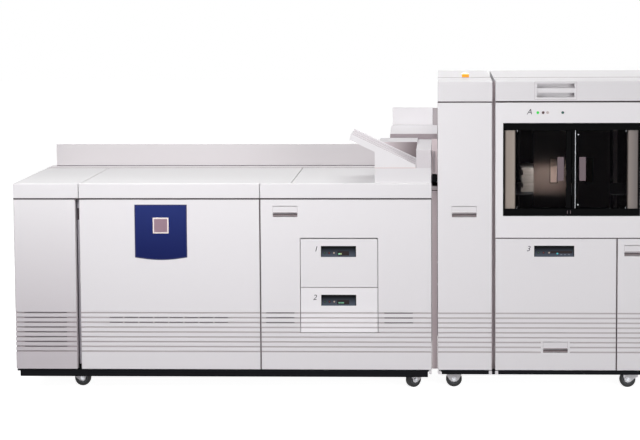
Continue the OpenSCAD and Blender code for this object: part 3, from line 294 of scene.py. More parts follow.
def column_material(name, hex_code, shade_hex, high_hex):
    """Cover moulding with painted shade on its exit column, between two heights and near the front,
    and painted light on its rear panel, above the cover."""
    mat = material(name, hex_code, 0.5, grain=(1.4, 0.03), specular=0.0)
    tree = mat.node_tree
    place = place_in(tree)
    share = 1.0
    for axis, level, test in (("Z", 1.0440, "GREATER_THAN"), ("Z", 1.1275, "LESS_THAN"),
                              ("Y", 0.078, "LESS_THAN")):
        step = add(tree, "ShaderNodeMath", {0: place[axis], 1: level}, operation=test)
        share = add(tree, "ShaderNodeMath", {0: step.outputs[0], 1: share},
                    operation="MULTIPLY").outputs[0]
    above = add(tree, "ShaderNodeMath", {0: place["Z"], 1: 1.184}, operation="GREATER_THAN")
    tone = colour(hex_code)
    for factor, other in ((share, shade_hex), (above.outputs[0], high_hex)):
        tone = add(tree, "ShaderNodeMix", {"Factor": factor, MIX_A: tone,
                                           MIX_B: colour(other)}, data_type="RGBA").outputs[MIX_OUT]
    return paint_with(mat, tone)


# %% [markdown]
# ### Paper and thin film
#
# The delivered sets show as a pile of fine edges behind smoked panes. Real sheets are 0.1 mm apart,
# which no picture shows, so the lines are drawn about 1.6 mm apart: a noise that is squeezed along
# Z gives each line its own length and tone. A pane that only tints what lies behind it is a thin
# sheet with part cover, which keeps it free of the bends that thick glass makes.

# %% Paper and thin film
LINES_PER_METRE = 620.0
LINE_LENGTHS_PER_METRE = 6.0


def paper_material(name):
    """Cut sheet edges: fine horizontal lines, about 1.6 mm apart."""
    mat = material(name, "e6ddd2", rough=0.85)
    tree = mat.node_tree
    flat = add(tree, "ShaderNodeMapping", {
        "Vector": add(tree, "ShaderNodeTexCoord").outputs["Object"],
        "Scale": (LINE_LENGTHS_PER_METRE, LINE_LENGTHS_PER_METRE, LINES_PER_METRE)})
    lines = add(tree, "ShaderNodeTexNoise", {"Vector": flat.outputs[0], "Scale": 1.0,
                                            "Detail": 1.0})
    tone = add(tree, "ShaderNodeMix", {"Factor": lines.outputs["Fac"], MIX_A: colour("9c9088"),
                                       MIX_B: colour("f4ece2")}, data_type="RGBA")
    return paint_with(mat, tone.outputs[MIX_OUT])


def sheet_material(name, hex_code, cover, rough):
    """A thin tinted sheet: it covers a share of what lies behind it, and shines on top."""
    mat = material(name, hex_code, rough, specular=0.06)
    mat.node_tree.nodes["Principled BSDF"].inputs["Alpha"].default_value = cover
    return mat


# %% [markdown]
# ## Outside: mouldings and paint
#
# All the pale parts of the real machine are nearly one colour, but each faces the light in its own
# way, and the moulded doors are a little glossier than the covers. Each part that differs gets its
# own small change of tone, painted light on some and painted shade on others, so that the lamps
# don't have to be bent to it.

# %% Outside: mouldings and paint
M = {
    # Spray-painted foam moulding: off-white, satin, with painted shade in its grooves
    "door": moulding("off_white_moulding", "e6e4e6", "bdb6b8"),
    # The same at the left end, with painted shade that darkens it towards the floor
    "end": moulding("end_moulding_painted_shade", "e6e4e6", "bdb6b8",
                    ("e2dee0", "ffffff", 150.0, 900.0)),
    # The same on the lower drawer, with painted light: a brighter paint, brightest at its foot
    "low_tray": moulding("tray_moulding_painted_light", "f7f5f7", "c8c1c3",
                         ("ffffff", "f5f5f5", 284.0, 424.0)),
    # ABS cover with a fine grain: no clear highlight at all
    "panel": material("off_white_cover_moulding", "e6e4e6", 0.5, grain=(1.4, 0.03), mottle=0.03,
                      specular=0.0),
    # The same ABS on the high covers, darker as painted shade, whose fronts keep a faint shine
    "cover": material("matt_cover_moulding_painted_shade", "e3e1e3", 0.5, grain=(1.4, 0.03), specular=0.1),
    # Powder paint on sheet steel round the window: brighter as painted light, and a little smoother
    "surround": material("surround_paint_painted_light", "ebe9eb", 0.5, grain=(1.0, 0.02), specular=0.2),
    # Pale ABS of the crossover, with painted shade on its column and painted light on the rear panel
    "column": column_material("cover_moulding_painted_shade_and_light", "e0dee0", "d5d0d3", "f8f6f8"),
    # Powder paint on sheet steel: orange peel a little under 1 mm across
    "paint": material("off_white_paint", "dfdcdf", 0.46, grain=(0.9, 0.02), mottle=0.04,
                      specular=0.3),
    # The same paint, greyer, on the rear wall
    "wall": material("grey_white_wall_paint", "d7d3d5", 0.5, grain=(0.9, 0.02), mottle=0.04),
    # Grey plate behind the vent slots: painted shade of their floors
    "vent": material("vent_floor_painted_shade", "8d878a", 0.7, grain=(1.0, 0.05)),
    # Textured paint of the worktop: flat under a raking light
    "worktop": material("worktop_paint", "e6e5e6", 0.6, grain=(0.9, 0.015), mottle=0.04,
                        specular=0.0),
}
print(len(M), "outside finishes")

# %% [markdown]
# ## Frames, metals and moving works
#
# Below and behind the covers the machine is black paint, plated sheet and dark moulding. Metals
# keep the default IOR: for them the colour and the roughness say which metal it is. A dark paint
# needs little gloss, or the white studio turns it grey.

# %% Frames, metals and moving works
M.update({
    # Coated steel plate: grey, with a dull sheen
    "steel": material("grey_coated_steel", "8e9094", 0.45, metal=0.35, grain=(3.0, 0.02)),
    # Galvanised sheet: bright, with patches that shine unevenly
    "galv": material("galvanised_sheet", "b9bcc0", 0.38, metal=0.85, mottle=0.08),
    # Zinc-plated nuts: brighter and smoother
    "zinc": material("bright_zinc_plate", "c6c8cc", 0.27, metal=1.0, grain=(4.0, 0.02)),
    # Ground steel pins and screw heads: clean reflections, slightly blurred
    "pin": material("ground_steel", "b4b6ba", 0.25, metal=1.0),
    # Painted steel forks of the casters: light grey with some metal in it
    "fork": material("bright_painted_fork", "dcdade", 0.35, metal=0.25),
    # Enamelled cheeks of the forks: pale paint, made white as painted light against the shade below
    "cheek": material("white_fork_painted_light", "f6f4f6", 0.4),
    # Black powder coat of the base frames: deep and nearly dull
    "base": material("black_powder_coat", "07080c", 0.5, grain=(1.0, 0.04), specular=0.08),
    # Caster rubber: black with a soft grey sheen
    "tyre": material("black_caster_rubber", "121214", 0.62, grain=(2.0, 0.03)),
    # Nylon hub discs: dark grey, satin
    "hub": material("dark_grey_nylon", "3a3b40", 0.5),
    # Glass-filled moulding of the works: dark grey with a visible grain
    "works": material("dark_grey_moulding", "2b2d32", 0.5, grain=(1.4, 0.03)),
    # Belt with a clear glossy coat, dark green, behind a grey front plate
    "belt": fade_material("coated_belt", "5d6066", "16352e", -423.0, -421.0, 0.3, 0.3, 0.5, "Y"),
    # Silicone rubber of the fuser roll: brick red, satin
    "silicone": material("fuser_silicone", "8c3a20", 0.5),
    # ABS levers that a hand may touch: clear green
    "lever": material("green_release_lever", "2d8d5a", 0.4),
    # ABS paper guides: blue, satin
    "blue": material("blue_paper_guide", "33508c", 0.45),
    # Woven sleeve of the wires, seen from too far to show its weave
    "cable": material("grey_wire_sleeve", "34363b", 0.6),
})
print(len(M), "finishes with the works")

# %% [markdown]
# ## Window bay
#
# The stacker's window is the darkest part of the picture: black frame, black lining of painted
# shade, and smoked acrylic doors that carry a hazy film, in which the lit sets show as a glow.

# %% Window bay
M.update({
    # Satin black moulding of the frame: almost no shine
    "window": material("satin_black_moulding", "020203", 0.7, specular=0.05),
    # Black lining: painted shade that darkens the inside of the bay
    "liner": material("black_bay_painted_shade", "060608", 0.7, grain=(1.2, 0.03), specular=0.2),
    # Warm grey pillars beside the panes, with painted shade across them
    "pillar": pillar_material("warm_grey_moulding_painted_shade"),
    # Smoked acrylic: a clean dark tint with sharp reflections
    "smoked": sheet_material("smoked_acrylic", "0a080a", 0.28, 0.06),
    # Film that scatters what is seen through it, as a haze
    "frost": material("hazy_tint_film", "b9aaa6", 0.8, transmission=1.0, ior=1.12, specular=0.3),
    # Rubbery grip plates: mauve grey, fine grain
    "grip": material("mauve_grey_grip", "5a4a50", 0.5, grain=(1.2, 0.02)),
    # Edges of cut sheets
    "paper": paper_material("cut_sheets"),
})
print(len(M), "finishes with the window bay")

# %% [markdown]
# ## Emblem plate, lamps and displays
#
# These are the only strong colours on the machine. Lit pieces get a little emission of their own
# colour, which reads as a lamp behind plastic, and stays too weak to light what is near.

# %% Emblem plate, lamps and displays
M.update({
    # Polycarbonate lenses, each with its own colour, and the lamp's dome
    "lens": lens_material("indicator_lenses"),
    # Navy enamel, with painted light that makes it a little lighter towards the top
    "navy": fade_material("navy_enamel_painted_light", "0f1a52", "26326e", 626.0, 875.0, 0.35, 0.0, 0.12),
    # Its bare edge, darker and glossier
    "navy_rim": material("dark_navy_enamel", "0a1450", 0.3),
    # Pearl paint: mauve grey with a trace of metal
    "plaque": material("pearl_plaque", "99808b", 0.45, metal=0.1, specular=0.1),
    # Its bright rim
    "plaque_rim": material("bright_plaque_rim", "f2e6e2", 0.2, metal=0.35),
    # Indicators that are off: coloured plastic in its own dark tone
    "green": material("green_indicator", "1c4a34", 0.3),
    "red": material("red_indicator", "5a1418", 0.3),
    "beige": material("beige_button", "a8998e", 0.5),
    # Smoked display windows
    "smoke": material("smoked_display_window", "1c1214", 0.5, specular=0.2),
    # Lit segments of the displays, in the three greens of the picture, and one in cyan
    "lcd": material("green_display_glow", "86c8a4", 0.4, glow=0.35),
    "lcd_warm": material("yellow_green_display_glow", "98a878", 0.4, glow=0.3),
    "lcd_dim": material("dim_green_display_glow", "5d9478", 0.4, glow=0.2),
    "cyan": material("cyan_indicator_glow", "3aa2ae", 0.4, glow=0.4),
    # Segments that are off
    "tick": material("pale_display_marks", "6a6f7a", 0.6),
    # Screen-printed ink: grey, dull
    "ink": material("grey_ink", "4e4a52", 0.8),
})
print(len(M), "finishes with emblem and displays")

# %% [markdown]
# ## Seams, painted shade and small trim
#
# The gaps between doors and modules read as thin lines of several greys and browns, which is the
# shade in them. A seam that is only an empty slot turns black in one view and vanishes in the next,
# so each gets a thin piece of painted shade in the tone that the real seam shows.

# %% Seams, painted shade and small trim
M.update({
    # Extruded strip in the channel beside the end cover
    "strip": material("grey_channel_strip", "b6b2ba", 0.55),
    # Backstop of the sample tray, with painted shade that darkens it from left to right
    "backstop": fade_material("mauve_grey_backstop_painted_shade", "ded3d6", "7c7173", 178.0, 363.0, 0.6, 0.0,
                              0.3, "X"),
    # Painted shade in mauve grey: lines on rib fronts, edges, recess sides and handle lips
    "band": material("mauve_grey_painted_shade", "a2979b", 0.55, grain=(1.4, 0.02)),
    # Mauve grey painted shade in the gaps between the modules
    "filler": material("mauve_grey_gap_shade", "d6c9cb", 0.6, grain=(1.6, 0.03)),
    # Foot line of the sample tray: painted shade at the joint, in a warm tone
    "blush": material("warm_foot_painted_shade", "cfb0aa", 0.6),
    # Painted shade in the handle recesses: darker at the top, lighter below
    "shade": material("recess_painted_dark_shade", "5c5254", 0.8),
    "throat": material("recess_painted_shade", "8f8486", 0.8),
    # Brown black painted shade in seams, gaps and under lips, with a coarse dull skin
    "brown": material("brown_black_painted_shade", "3c3234", 0.85, grain=(1.5, 0.08)),
    # Pale grey for seam lines and small fillers, and for the lighter rib lines of painted shade
    "seam": material("pale_seam_filler", "b9b1b4", 0.6),
})
print(len(M), "finishes in all")

# %% [markdown]
# ## Dressing the CAD nodes
#
# Each CAD node already has the real shape, so it only needs its finish. The table names the nodes
# of each finish; a node that it leaves out is a plain cover.

# %% Dressing the CAD nodes
CAD_LOOK = {
    "base": ("base_frames",),
    "steel": ("engine_frame", "fuser_housing", "electronics_cage"),
    "door": ("emblem_door", "tray_door", "tray_1_front", "tower_door", "tray_3_front",
             "lower_door"),
    "end": ("end_cover",),
    "low_tray": ("tray_2_front",),
    "paint": ("back_cover", "tower_frame", "stacker_frame"),
    "wall": ("rear_wall",),
    "column": ("crossover_housing",),
    "cover": ("tower_top", "top_cover"),
    "surround": ("bay_surround",),
    "worktop": ("worktop_panels", "worktop_cover"),
    "pin": ("hinge_pins",),
    "belt": ("belt_module",),
    "silicone": ("fuser_roll",),
    # The stack platform takes the dark grey of the works as painted shade in the bay.
    "works": ("pressure_roll", "stack_platform"),
    "lens": ("signal_lenses",),
    "window": ("window_frame",),
    "pillar": ("bay_pillars",),
    "smoked": ("window_door_left", "window_door_right"),
    "galv": ("tray_1_box", "tray_2_box", "tray_3_box", "tray_1_plate", "tray_2_plate",
             "tray_3_plate"),
    "paper": ("paper_stack",),
    "fork": ("fixed_forks", "fork_1", "fork_2", "fork_3", "fork_4"),
    "tyre": tuple("wheel_%d" % i for i in range(1, 9)),
}
look_of = {n: look for look, names in CAD_LOOK.items() for n in names}
for name, obj in nodes.items():
    obj.data.materials.clear()
    obj.data.materials.append(M[look_of.get(name, "panel")])
print(len(nodes), "nodes dressed")

# %% [markdown]
# ## Shapes
#
# The trim is made of plates, strips, round bars and tubes. Blender's own cubes and cylinders would
# give one object for each. `Shape` gathers them, drawn from outlines in millimetres, into one mesh,
# with a material for each face. Each finished piece names the body that it moves with, so that
# nothing is left behind when a door opens.


# %% Shape builder
class Shape:
    """Collects simple solids, in millimetres, into one object."""

    def __init__(self, name):
        self.name, self.bm, self.mats = name, bmesh.new(), []

    def _dress(self, faces, look, smooth=False):
        """Gives faces their material."""
        if look not in self.mats:
            self.mats.append(look)
        for face in faces:
            face.material_index = self.mats.index(look)
            face.smooth = smooth

    def _bevel(self, faces, size, look):
        edges = list({e for f in faces for e in f.edges})
        made = bmesh.ops.bevel(self.bm, geom=edges, offset=size, segments=2, profile=0.5,
                               affect="EDGES", clamp_overlap=True)
        self._dress(made["faces"], look, True)

    def prism(self, start, end, look, bevel=0.0):
        """A solid between two rings of as many points."""
        rings = [[self.bm.verts.new(p) for p in ring] for ring in (start, end)]
        n = len(start)
        faces = [self.bm.faces.new(rings[0]), self.bm.faces.new(list(reversed(rings[1])))]
        faces += [self.bm.faces.new((rings[0][i], rings[1][i], rings[1][(i + 1) % n],
                                     rings[0][(i + 1) % n])) for i in range(n)]
        bmesh.ops.recalc_face_normals(self.bm, faces=faces)
        self._dress(faces, look)
        if bevel:
            self._bevel(faces, bevel, look)
        return self

    def outline(self, axis, points, start, end, look, bevel=0.0):
        """Draws an outline in the two other axes, from start to end along axis."""
        place = {"x": lambda a, b, c: (c, a, b), "y": lambda a, b, c: (a, c, b),
                 "z": lambda a, b, c: (a, b, c)}[axis]
        return self.prism(*([place(a, b, c) for a, b in points] for c in (start, end)), look,
                          bevel)

    def box(self, low, high, look, bevel=0.0):
        (x0, y0, z0), (x1, y1, z1) = low, high
        return self.outline("z", [(x0, y0), (x1, y0), (x1, y1), (x0, y1)], z0, z1, look, bevel)

    def rod(self, start, end, radius, look, sides=24, end_radius=None):
        """A round bar, or a cone where end_radius is given."""
        a, b = Vector(start), Vector(end)
        turned = (b - a).to_track_quat("Z", "Y").to_matrix().to_4x4()
        made = bmesh.ops.create_cone(
            self.bm, cap_ends=True, segments=sides, radius1=radius,
            radius2=radius if end_radius is None else end_radius, depth=(b - a).length,
            matrix=Matrix.Translation((a + b) / 2) @ turned)
        faces = {f for v in made["verts"] for f in v.link_faces}
        self._dress([f for f in faces if len(f.verts) > 4], look)
        self._dress([f for f in faces if len(f.verts) <= 4], look, sides > 6)
        return self

    def tube(self, points, radius, look, sides=8):
        """A round tube along points, with a ring of points at each."""
        points = [Vector(p) for p in points]
        rings = []
        for i, p in enumerate(points):
            ahead = points[min(i + 1, len(points) - 1)] - points[max(i - 1, 0)]
            turned = ahead.to_track_quat("Z", "Y").to_matrix()
            rings.append([self.bm.verts.new(p + turned @ Vector((
                radius * math.cos(2 * math.pi * k / sides),
                radius * math.sin(2 * math.pi * k / sides), 0))) for k in range(sides)])
        faces = [self.bm.faces.new((a[k], a[(k + 1) % sides], b[(k + 1) % sides], b[k]))
                 for a, b in zip(rings, rings[1:]) for k in range(sides)]
        self._dress(faces, look, True)
        self._dress([self.bm.faces.new(list(reversed(rings[0]))), self.bm.faces.new(rings[-1])],
                    look)
        return self

    def done(self, body, slot, *replaced):
        """Turns what was collected into one finished object."""
        mesh = bpy.data.meshes.new(self.name)
        self.bm.to_mesh(mesh)
        self.bm.free()
        mesh.transform(Matrix.Scale(MM, 4))
        for look in self.mats:
            mesh.materials.append(M[look])
        return settle(self.name, mesh, body, slot, *replaced)


def settle(name, mesh, body, slot, *replaced):
    """Links a finished mesh, in metres, and says what it rides on and what it stands for."""
    obj = bpy.data.objects.new(name, mesh)
    scene.collection.objects.link(obj)
    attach(obj, body)
    if replaced:
        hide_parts(*replaced)
    return obj


def box_of(node):
    """The low and high corners of a CAD node, in millimetres."""
    low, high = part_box(node)
    return Vector(low) / MM, Vector(high) / MM


# %% [markdown]
# ## Repeats with Geometry Nodes
#
# Screws and sheets repeat many times. Copies made in Python would do, but a small node tree says
# the rule once: it places one master on every point of a mesh. Its inputs carry the sizes, set by
# the socket's identifier before the object is first evaluated. The result is turned into a plain
# mesh, so that nothing is left to compute later and the export finds real faces.


# %% Running a node tree
def node_group(name, sockets):
    """A geometry node tree with named inputs: (name, socket type, default)."""
    tree = bpy.data.node_groups.new(name, "GeometryNodeTree")
    tree.interface.new_socket(name="Geometry", in_out="INPUT", socket_type="NodeSocketGeometry")
    for label, kind, default in sockets:
        made = tree.interface.new_socket(name=label, in_out="INPUT", socket_type=kind)
        if default is not None:
            made.default_value = default
    tree.interface.new_socket(name="Geometry", in_out="OUTPUT", socket_type="NodeSocketGeometry")
    return tree, tree.nodes.new("NodeGroupInput"), tree.nodes.new("NodeGroupOutput")


def grown(name, tree, mesh, settings):
    """Runs a node tree on a mesh and returns the plain mesh that comes out."""
    obj = bpy.data.objects.new(name + "_points", mesh)
    scene.collection.objects.link(obj)
    mod = obj.modifiers.new("grow", "NODES")
    mod.node_group = tree
    for item in tree.interface.items_tree:
        if item.in_out == "INPUT" and item.name in settings:
            mod[item.identifier] = settings[item.name]
    evaluated = obj.evaluated_get(bpy.context.evaluated_depsgraph_get())
    result = bpy.data.meshes.new_from_object(evaluated)
    obj.modifiers.clear()
    bpy.data.objects.remove(obj)
    return result


# %% [markdown]
# ### Screws
#
# Sheet panels are held by pan-head screws with a cross recess. At this size a real recess is not
# worth its faces: two thin black bars of painted shade on a short cylinder give the same cross. Each
# point carries the way that its screw faces as an attribute, and the tree turns the head to it.

# %% Screws
RECESS_LONG, RECESS_WIDE = 1.2, 0.24  # shares of the head's radius
RECESS_HIGH = 0.0003  # metres


def screw_tree():
    """A pan head with a cross recess of painted shade on every point, turned to the point's facing.
    """
    tree, start, end = node_group("screws", [
        ("Head radius", "NodeSocketFloat", 0.005), ("Head height", "NodeSocketFloat", 0.002),
        ("Head", "NodeSocketMaterial", None), ("Recess", "NodeSocketMaterial", None)])
    radius, height = start.outputs["Head radius"], start.outputs["Head height"]
    head = add(tree, "GeometryNodeMeshCylinder", {"Vertices": 20, "Radius": radius,
                                                  "Depth": height})
    half = add(tree, "ShaderNodeMath", {0: height, 1: 0.5}, operation="MULTIPLY")
    lift = add(tree, "ShaderNodeCombineXYZ", {"Z": half.outputs[0]})
    head_up = add(tree, "GeometryNodeTransform", {"Geometry": head.outputs["Mesh"],
                                                  "Translation": lift.outputs[0]})
    parts = [add(tree, "GeometryNodeSetMaterial", {"Geometry": head_up.outputs[0],
                                                   "Material": start.outputs["Head"]})]
    long, wide = (add(tree, "ShaderNodeMath", {0: radius, 1: share},
                      operation="MULTIPLY").outputs[0] for share in (RECESS_LONG, RECESS_WIDE))
    for across, up in ((long, wide), (wide, long)):
        size = add(tree, "ShaderNodeCombineXYZ", {"X": across, "Y": up, "Z": RECESS_HIGH})
        bar = add(tree, "GeometryNodeMeshCube", {"Size": size.outputs[0]})
        top = add(tree, "ShaderNodeCombineXYZ", {"Z": height})
        moved = add(tree, "GeometryNodeTransform", {"Geometry": bar.outputs["Mesh"],
                                                    "Translation": top.outputs[0]})
        parts.append(add(tree, "GeometryNodeSetMaterial", {
            "Geometry": moved.outputs[0], "Material": start.outputs["Recess"]}))
    join = add(tree, "GeometryNodeJoinGeometry")
    for part in parts:
        tree.links.new(part.outputs[0], join.inputs[0])
    facing = add(tree, "GeometryNodeInputNamedAttribute", {"Name": "facing"},
                 data_type="FLOAT_VECTOR")
    align = add(tree, "FunctionNodeAlignRotationToVector",
                {"Vector": facing.outputs["Attribute"]}, axis="Z")
    placed = add(tree, "GeometryNodeInstanceOnPoints", {
        "Points": start.outputs["Geometry"], "Instance": join.outputs[0],
        "Rotation": align.outputs[0]})
    real = add(tree, "GeometryNodeRealizeInstances", {"Geometry": placed.outputs[0]})
    tree.links.new(real.outputs[0], end.inputs[0])
    return tree


SCREWS = screw_tree()


def screws(name, body, places, radius=5.0, height=2.0):
    """Screw heads at places: each a point in mm and the way that the head faces."""
    mesh = bpy.data.meshes.new(name)
    mesh.from_pydata([Vector(p) * MM for p, _ in places], [], [])
    facing = mesh.attributes.new("facing", "FLOAT_VECTOR", "POINT")
    facing.data.foreach_set("vector", [c for _, way in places for c in way])
    result = grown(name, SCREWS, mesh, {"Head radius": radius * MM, "Head height": height * MM,
                                        "Head": M["pin"], "Recess": M["base"]})
    print(name, len(places), "screws")
    return settle(name, result, body, "pin_steel")


# %% [markdown]
# ### Piles of sheets
#
# A pile of paper is never quite true. One block with lines on it looks like wood, and a slab for
# each sheet would be thousands of faces. So a pile is a few dozen slabs, one for each set, which
# the tree pushes a little out of line by a random amount with a fixed seed.

# %% Piles of sheets
SLAB_SHARE = 0.96  # of the pitch; the rest is the dark gap between two sets


def sheet_tree():
    """A pile of sheets or sets: one slab on every point, pushed a little out of line."""
    tree, start, end = node_group("sheets", [
        ("Width", "NodeSocketFloat", 0.2), ("Length", "NodeSocketFloat", 0.3),
        ("Thickness", "NodeSocketFloat", 0.002), ("Slip", "NodeSocketFloat", 0.001),
        ("Seed", "NodeSocketInt", 1), ("Paper", "NodeSocketMaterial", None)])
    size = add(tree, "ShaderNodeCombineXYZ", {
        "X": start.outputs["Width"], "Y": start.outputs["Length"],
        "Z": start.outputs["Thickness"]})
    slab = add(tree, "GeometryNodeMeshCube", {"Size": size.outputs[0]})
    slip = start.outputs["Slip"]
    low = add(tree, "ShaderNodeMath", {0: slip, 1: -1.0}, operation="MULTIPLY").outputs[0]
    most = add(tree, "ShaderNodeCombineXYZ", {"X": slip, "Y": slip})
    least = add(tree, "ShaderNodeCombineXYZ", {"X": low, "Y": low})
    shift = add(tree, "FunctionNodeRandomValue", {"Min": least.outputs[0], "Max": most.outputs[0],
                                                  "Seed": start.outputs["Seed"]},
                data_type="FLOAT_VECTOR")
    moved = add(tree, "GeometryNodeSetPosition", {"Geometry": start.outputs["Geometry"],
                                                  "Offset": shift.outputs[0]})
    placed = add(tree, "GeometryNodeInstanceOnPoints", {"Points": moved.outputs[0],
                                                        "Instance": slab.outputs["Mesh"]})
    real = add(tree, "GeometryNodeRealizeInstances", {"Geometry": placed.outputs[0]})
    done = add(tree, "GeometryNodeSetMaterial", {"Geometry": real.outputs[0],
                                                 "Material": start.outputs["Paper"]})
    tree.links.new(done.outputs[0], end.inputs[0])
    return tree


SHEETS = sheet_tree()


def sheets(name, body, low, high, count, slip, seed, steps=(0.0,), replaced=()):
    """A pile that fills the box from low to high, in count slabs; steps are the sideways offsets
    of successive sets, in mm."""
    thick = (high[2] - low[2]) / count
    mid = [(a + b) / 2 for a, b in zip(low, high)]
    points = [(mid[0] + steps[i % len(steps)], mid[1], low[2] + (i + 0.5) * thick)
              for i in range(count)]
    mesh = bpy.data.meshes.new(name)
    mesh.from_pydata([Vector(p) * MM for p in points], [], [])
    result = grown(name, SHEETS, mesh, {
        "Width": (high[0] - low[0] - 2 * max(map(abs, steps))) * MM,
        "Length": (high[1] - low[1]) * MM, "Thickness": thick * MM * SLAB_SHARE,
        "Slip": slip * MM, "Seed": seed, "Paper": M["paper"]})
    print(name, "%.0f mm high in %d slabs" % (high[2] - low[2], count))
    return settle(name, result, body, "paper_white", *replaced)

# %% [markdown]
# ## Emblem plate
#
# The main door carries an enamelled plate with straight sides and a curved lower edge, and on it a
# raised square plaque. The plate is 2 mm thin, so it is no CAD solid. A box would miss the curve:
# the outline takes the lower edge from half a sine wave, and is drawn twice, once as a dark edge
# and once, a little smaller, as the enamel.

# %% Emblem plate: navy enamel with a curved lower edge, and a bare square plaque
PLATE_X = (-952.0, -706.0)
PLATE_Z = (626.0, 875.0)
PLATE_SAG = 12.0
PLATE_FACE = FRONT - 1.0
PLAQUE_X, PLAQUE_Z, PLAQUE_SIZE, PLAQUE_RIM = -866, 740, 74, 6


def shield(inset, steps=16):
    """The plate's outline, drawn in by inset."""
    x0, x1 = PLATE_X[0] + inset, PLATE_X[1] - inset
    low, high = PLATE_Z[0] + inset, PLATE_Z[1] - inset
    curve = [(x1 + (x0 - x1) * i / steps, low - PLATE_SAG * math.sin(math.pi * i / steps))
             for i in range(steps + 1)]
    return [(x0, high), (x1, high)] + curve


plate = Shape("emblem_plate")
plate.outline("y", shield(0.5), PLATE_FACE + 0.4, FRONT + 1.45, "navy_rim", 0.5)
plate.outline("y", shield(6.0), PLATE_FACE, PLATE_FACE + 0.4, "navy")
plate.done("emblem_door", "lens_orange")
plaque = Shape("emblem_plaque")
for inset, face, back, look, edge in ((0, FRONT - 4.6, PLATE_FACE, "plaque_rim", 1.4),
                                      (PLAQUE_RIM, FRONT - 5.0, FRONT - 4.6, "plaque", 0.0)):
    plaque.box((PLAQUE_X + inset, face, PLAQUE_Z + inset),
               (PLAQUE_X + PLAQUE_SIZE - inset, back, PLAQUE_Z + PLAQUE_SIZE - inset), look, edge)
plaque.done("emblem_door", "lens_orange")
print("plate", PLATE_X[1] - PLATE_X[0], "x", PLATE_Z[1] - PLATE_Z[0], "mm")

# %% [markdown]
# ## Channel strip
#
# Between the end cover and the main door runs an upright channel with a grey extruded strip in it.
# One dark line of painted shade at its left, a short dark stretch near the top and a black foot are
# what the eye sees of its section, so these are thin pieces on the strip.

# %% Upright channel between the end cover and the main door
STRIP_X = (-1229.4, -1212.6)
strip = Shape("channel_strip")
for x0, x1, y0, y1, z0, z1, look in (
        (STRIP_X[0], STRIP_X[1], -541.2, -539.1, 96, 900, "strip"),
        (STRIP_X[0], -1225.6, -541.6, -541.2, 116, 900, "brown"),
        (-1225, -1217, -541.8, -541.2, 800, 855, "brown"),
        (STRIP_X[0], STRIP_X[1], -541.4, -539.1, 94.2, 116, "base")):
    strip.box((x0, y0, z0), (x1, y1, z1), look)
strip.done("machine", "panel_paint")
print("channel strip", round(STRIP_X[1] - STRIP_X[0], 1), "mm wide")

# %% [markdown]
# ## Vent screens
#
# The vent slots are cut through the door skins. Without a floor behind them the slots would show
# the frame behind in strong black. One thin grey plate behind each group of slots rides on the door
# that it belongs to; its grey is painted shade, the tone of a shaded slot floor.

# %% Plates of painted shade behind the vent slots
VENT_TOP, VENT_PITCH, VENT_MARGIN = 365.0, 22.9, (3, 8)
SLOT_STEP, SLOT_LONG = 70.8, 62.5
VENT_GROUPS = {  # body: the first and last X of each group, and its first and last row
    "machine": [(-1479.4, -1278.5, 0, 7)],
    "emblem_door": [(-1077.0 + SLOT_STEP * i, -1077.0 + SLOT_LONG + SLOT_STEP * i, 1, 2)
                    for i in range(8)],
    "tray_door": [(-340.0, -207.0, 0, 2), (214.0, 347.0, 0, 2)],
}
for body, groups in VENT_GROUPS.items():
    screen = Shape("vent_screens_" + body)
    for x0, x1, first, last in groups:
        z0, z1 = (VENT_TOP - VENT_PITCH * row for row in (last, first))
        screen.box((x0 - VENT_MARGIN[0], FRONT + 6.3, z0 - VENT_MARGIN[1]),
                   (x1 + VENT_MARGIN[0], FRONT + 7.3, z1 + VENT_MARGIN[1]), "vent")
    screen.done(body, "panel_paint")
    print(body, len(groups), "vent groups screened")

# %% [markdown]
# ## Painted shade between the modules
#
# Each docked module stands a finger's width from the next. The gaps read as pale strips with a
# dark line on each side, which is the shade in them. So each gap gets a mauve-grey filler of painted
# shade, set back from the fronts, and dark edges of painted shade; the gap beside the sample tray
# also has a cover in front of the docking latch.

# %% Painted shade in the gaps between the modules
filler = Shape("gap_fillers")
filler.box((436.5, -538, 96), (461.5, -535, 950), "filler")
filler.box((436.5, -539, 936), (461.5, -535, 940), "brown")
filler.box((436.5, -540, 944), (461.5, -535, 958), "seam", 1.0)
filler.box((716.8, -538, 96), (730.2, -535, 1444), "filler")
for x in (436.0, 460.2):
    filler.box((x, -537, 96), (x + 1.8, -534, 950), "brown")
# The cover in front of the docking latch, with its pull and its black foot
filler.box((436.5, -519, 1012), (461.5, -516.5, 1176), "filler")
filler.box((443, -521.5, 1018), (450, -519, 1120), "seam", 0.5)
filler.box((438, -522, 976), (461.5, -516.5, 1011), "base")
filler.box((716.4, -537, 96), (719.6, -534, 1444), "brown")
filler.box((727.2, -537, 96), (730.6, -534, 1444), "brown")
# The fillers further back, which only a view past the fronts shows
filler.box((434.5, 316, 98), (461.0, 322, 972), "brown")
filler.box((434.5, 316, 974), (461.0, 322, 1270), "seam")
filler.done("machine", "panel_paint")
print("gaps of", 461.5 - 436.5, "and", round(730.2 - 716.8, 1), "mm filled")

# %% [markdown]
# ## Painted shade behind the seams
#
# The seams between the doors show as brown-black hairlines, and don't let one look into the
# machine. Their dark is painted shade. A dark line drawn on the fronts would lie flat. So the shade
# is thin bars a millimetre or two behind the front plane, so that the seam keeps its real depth.

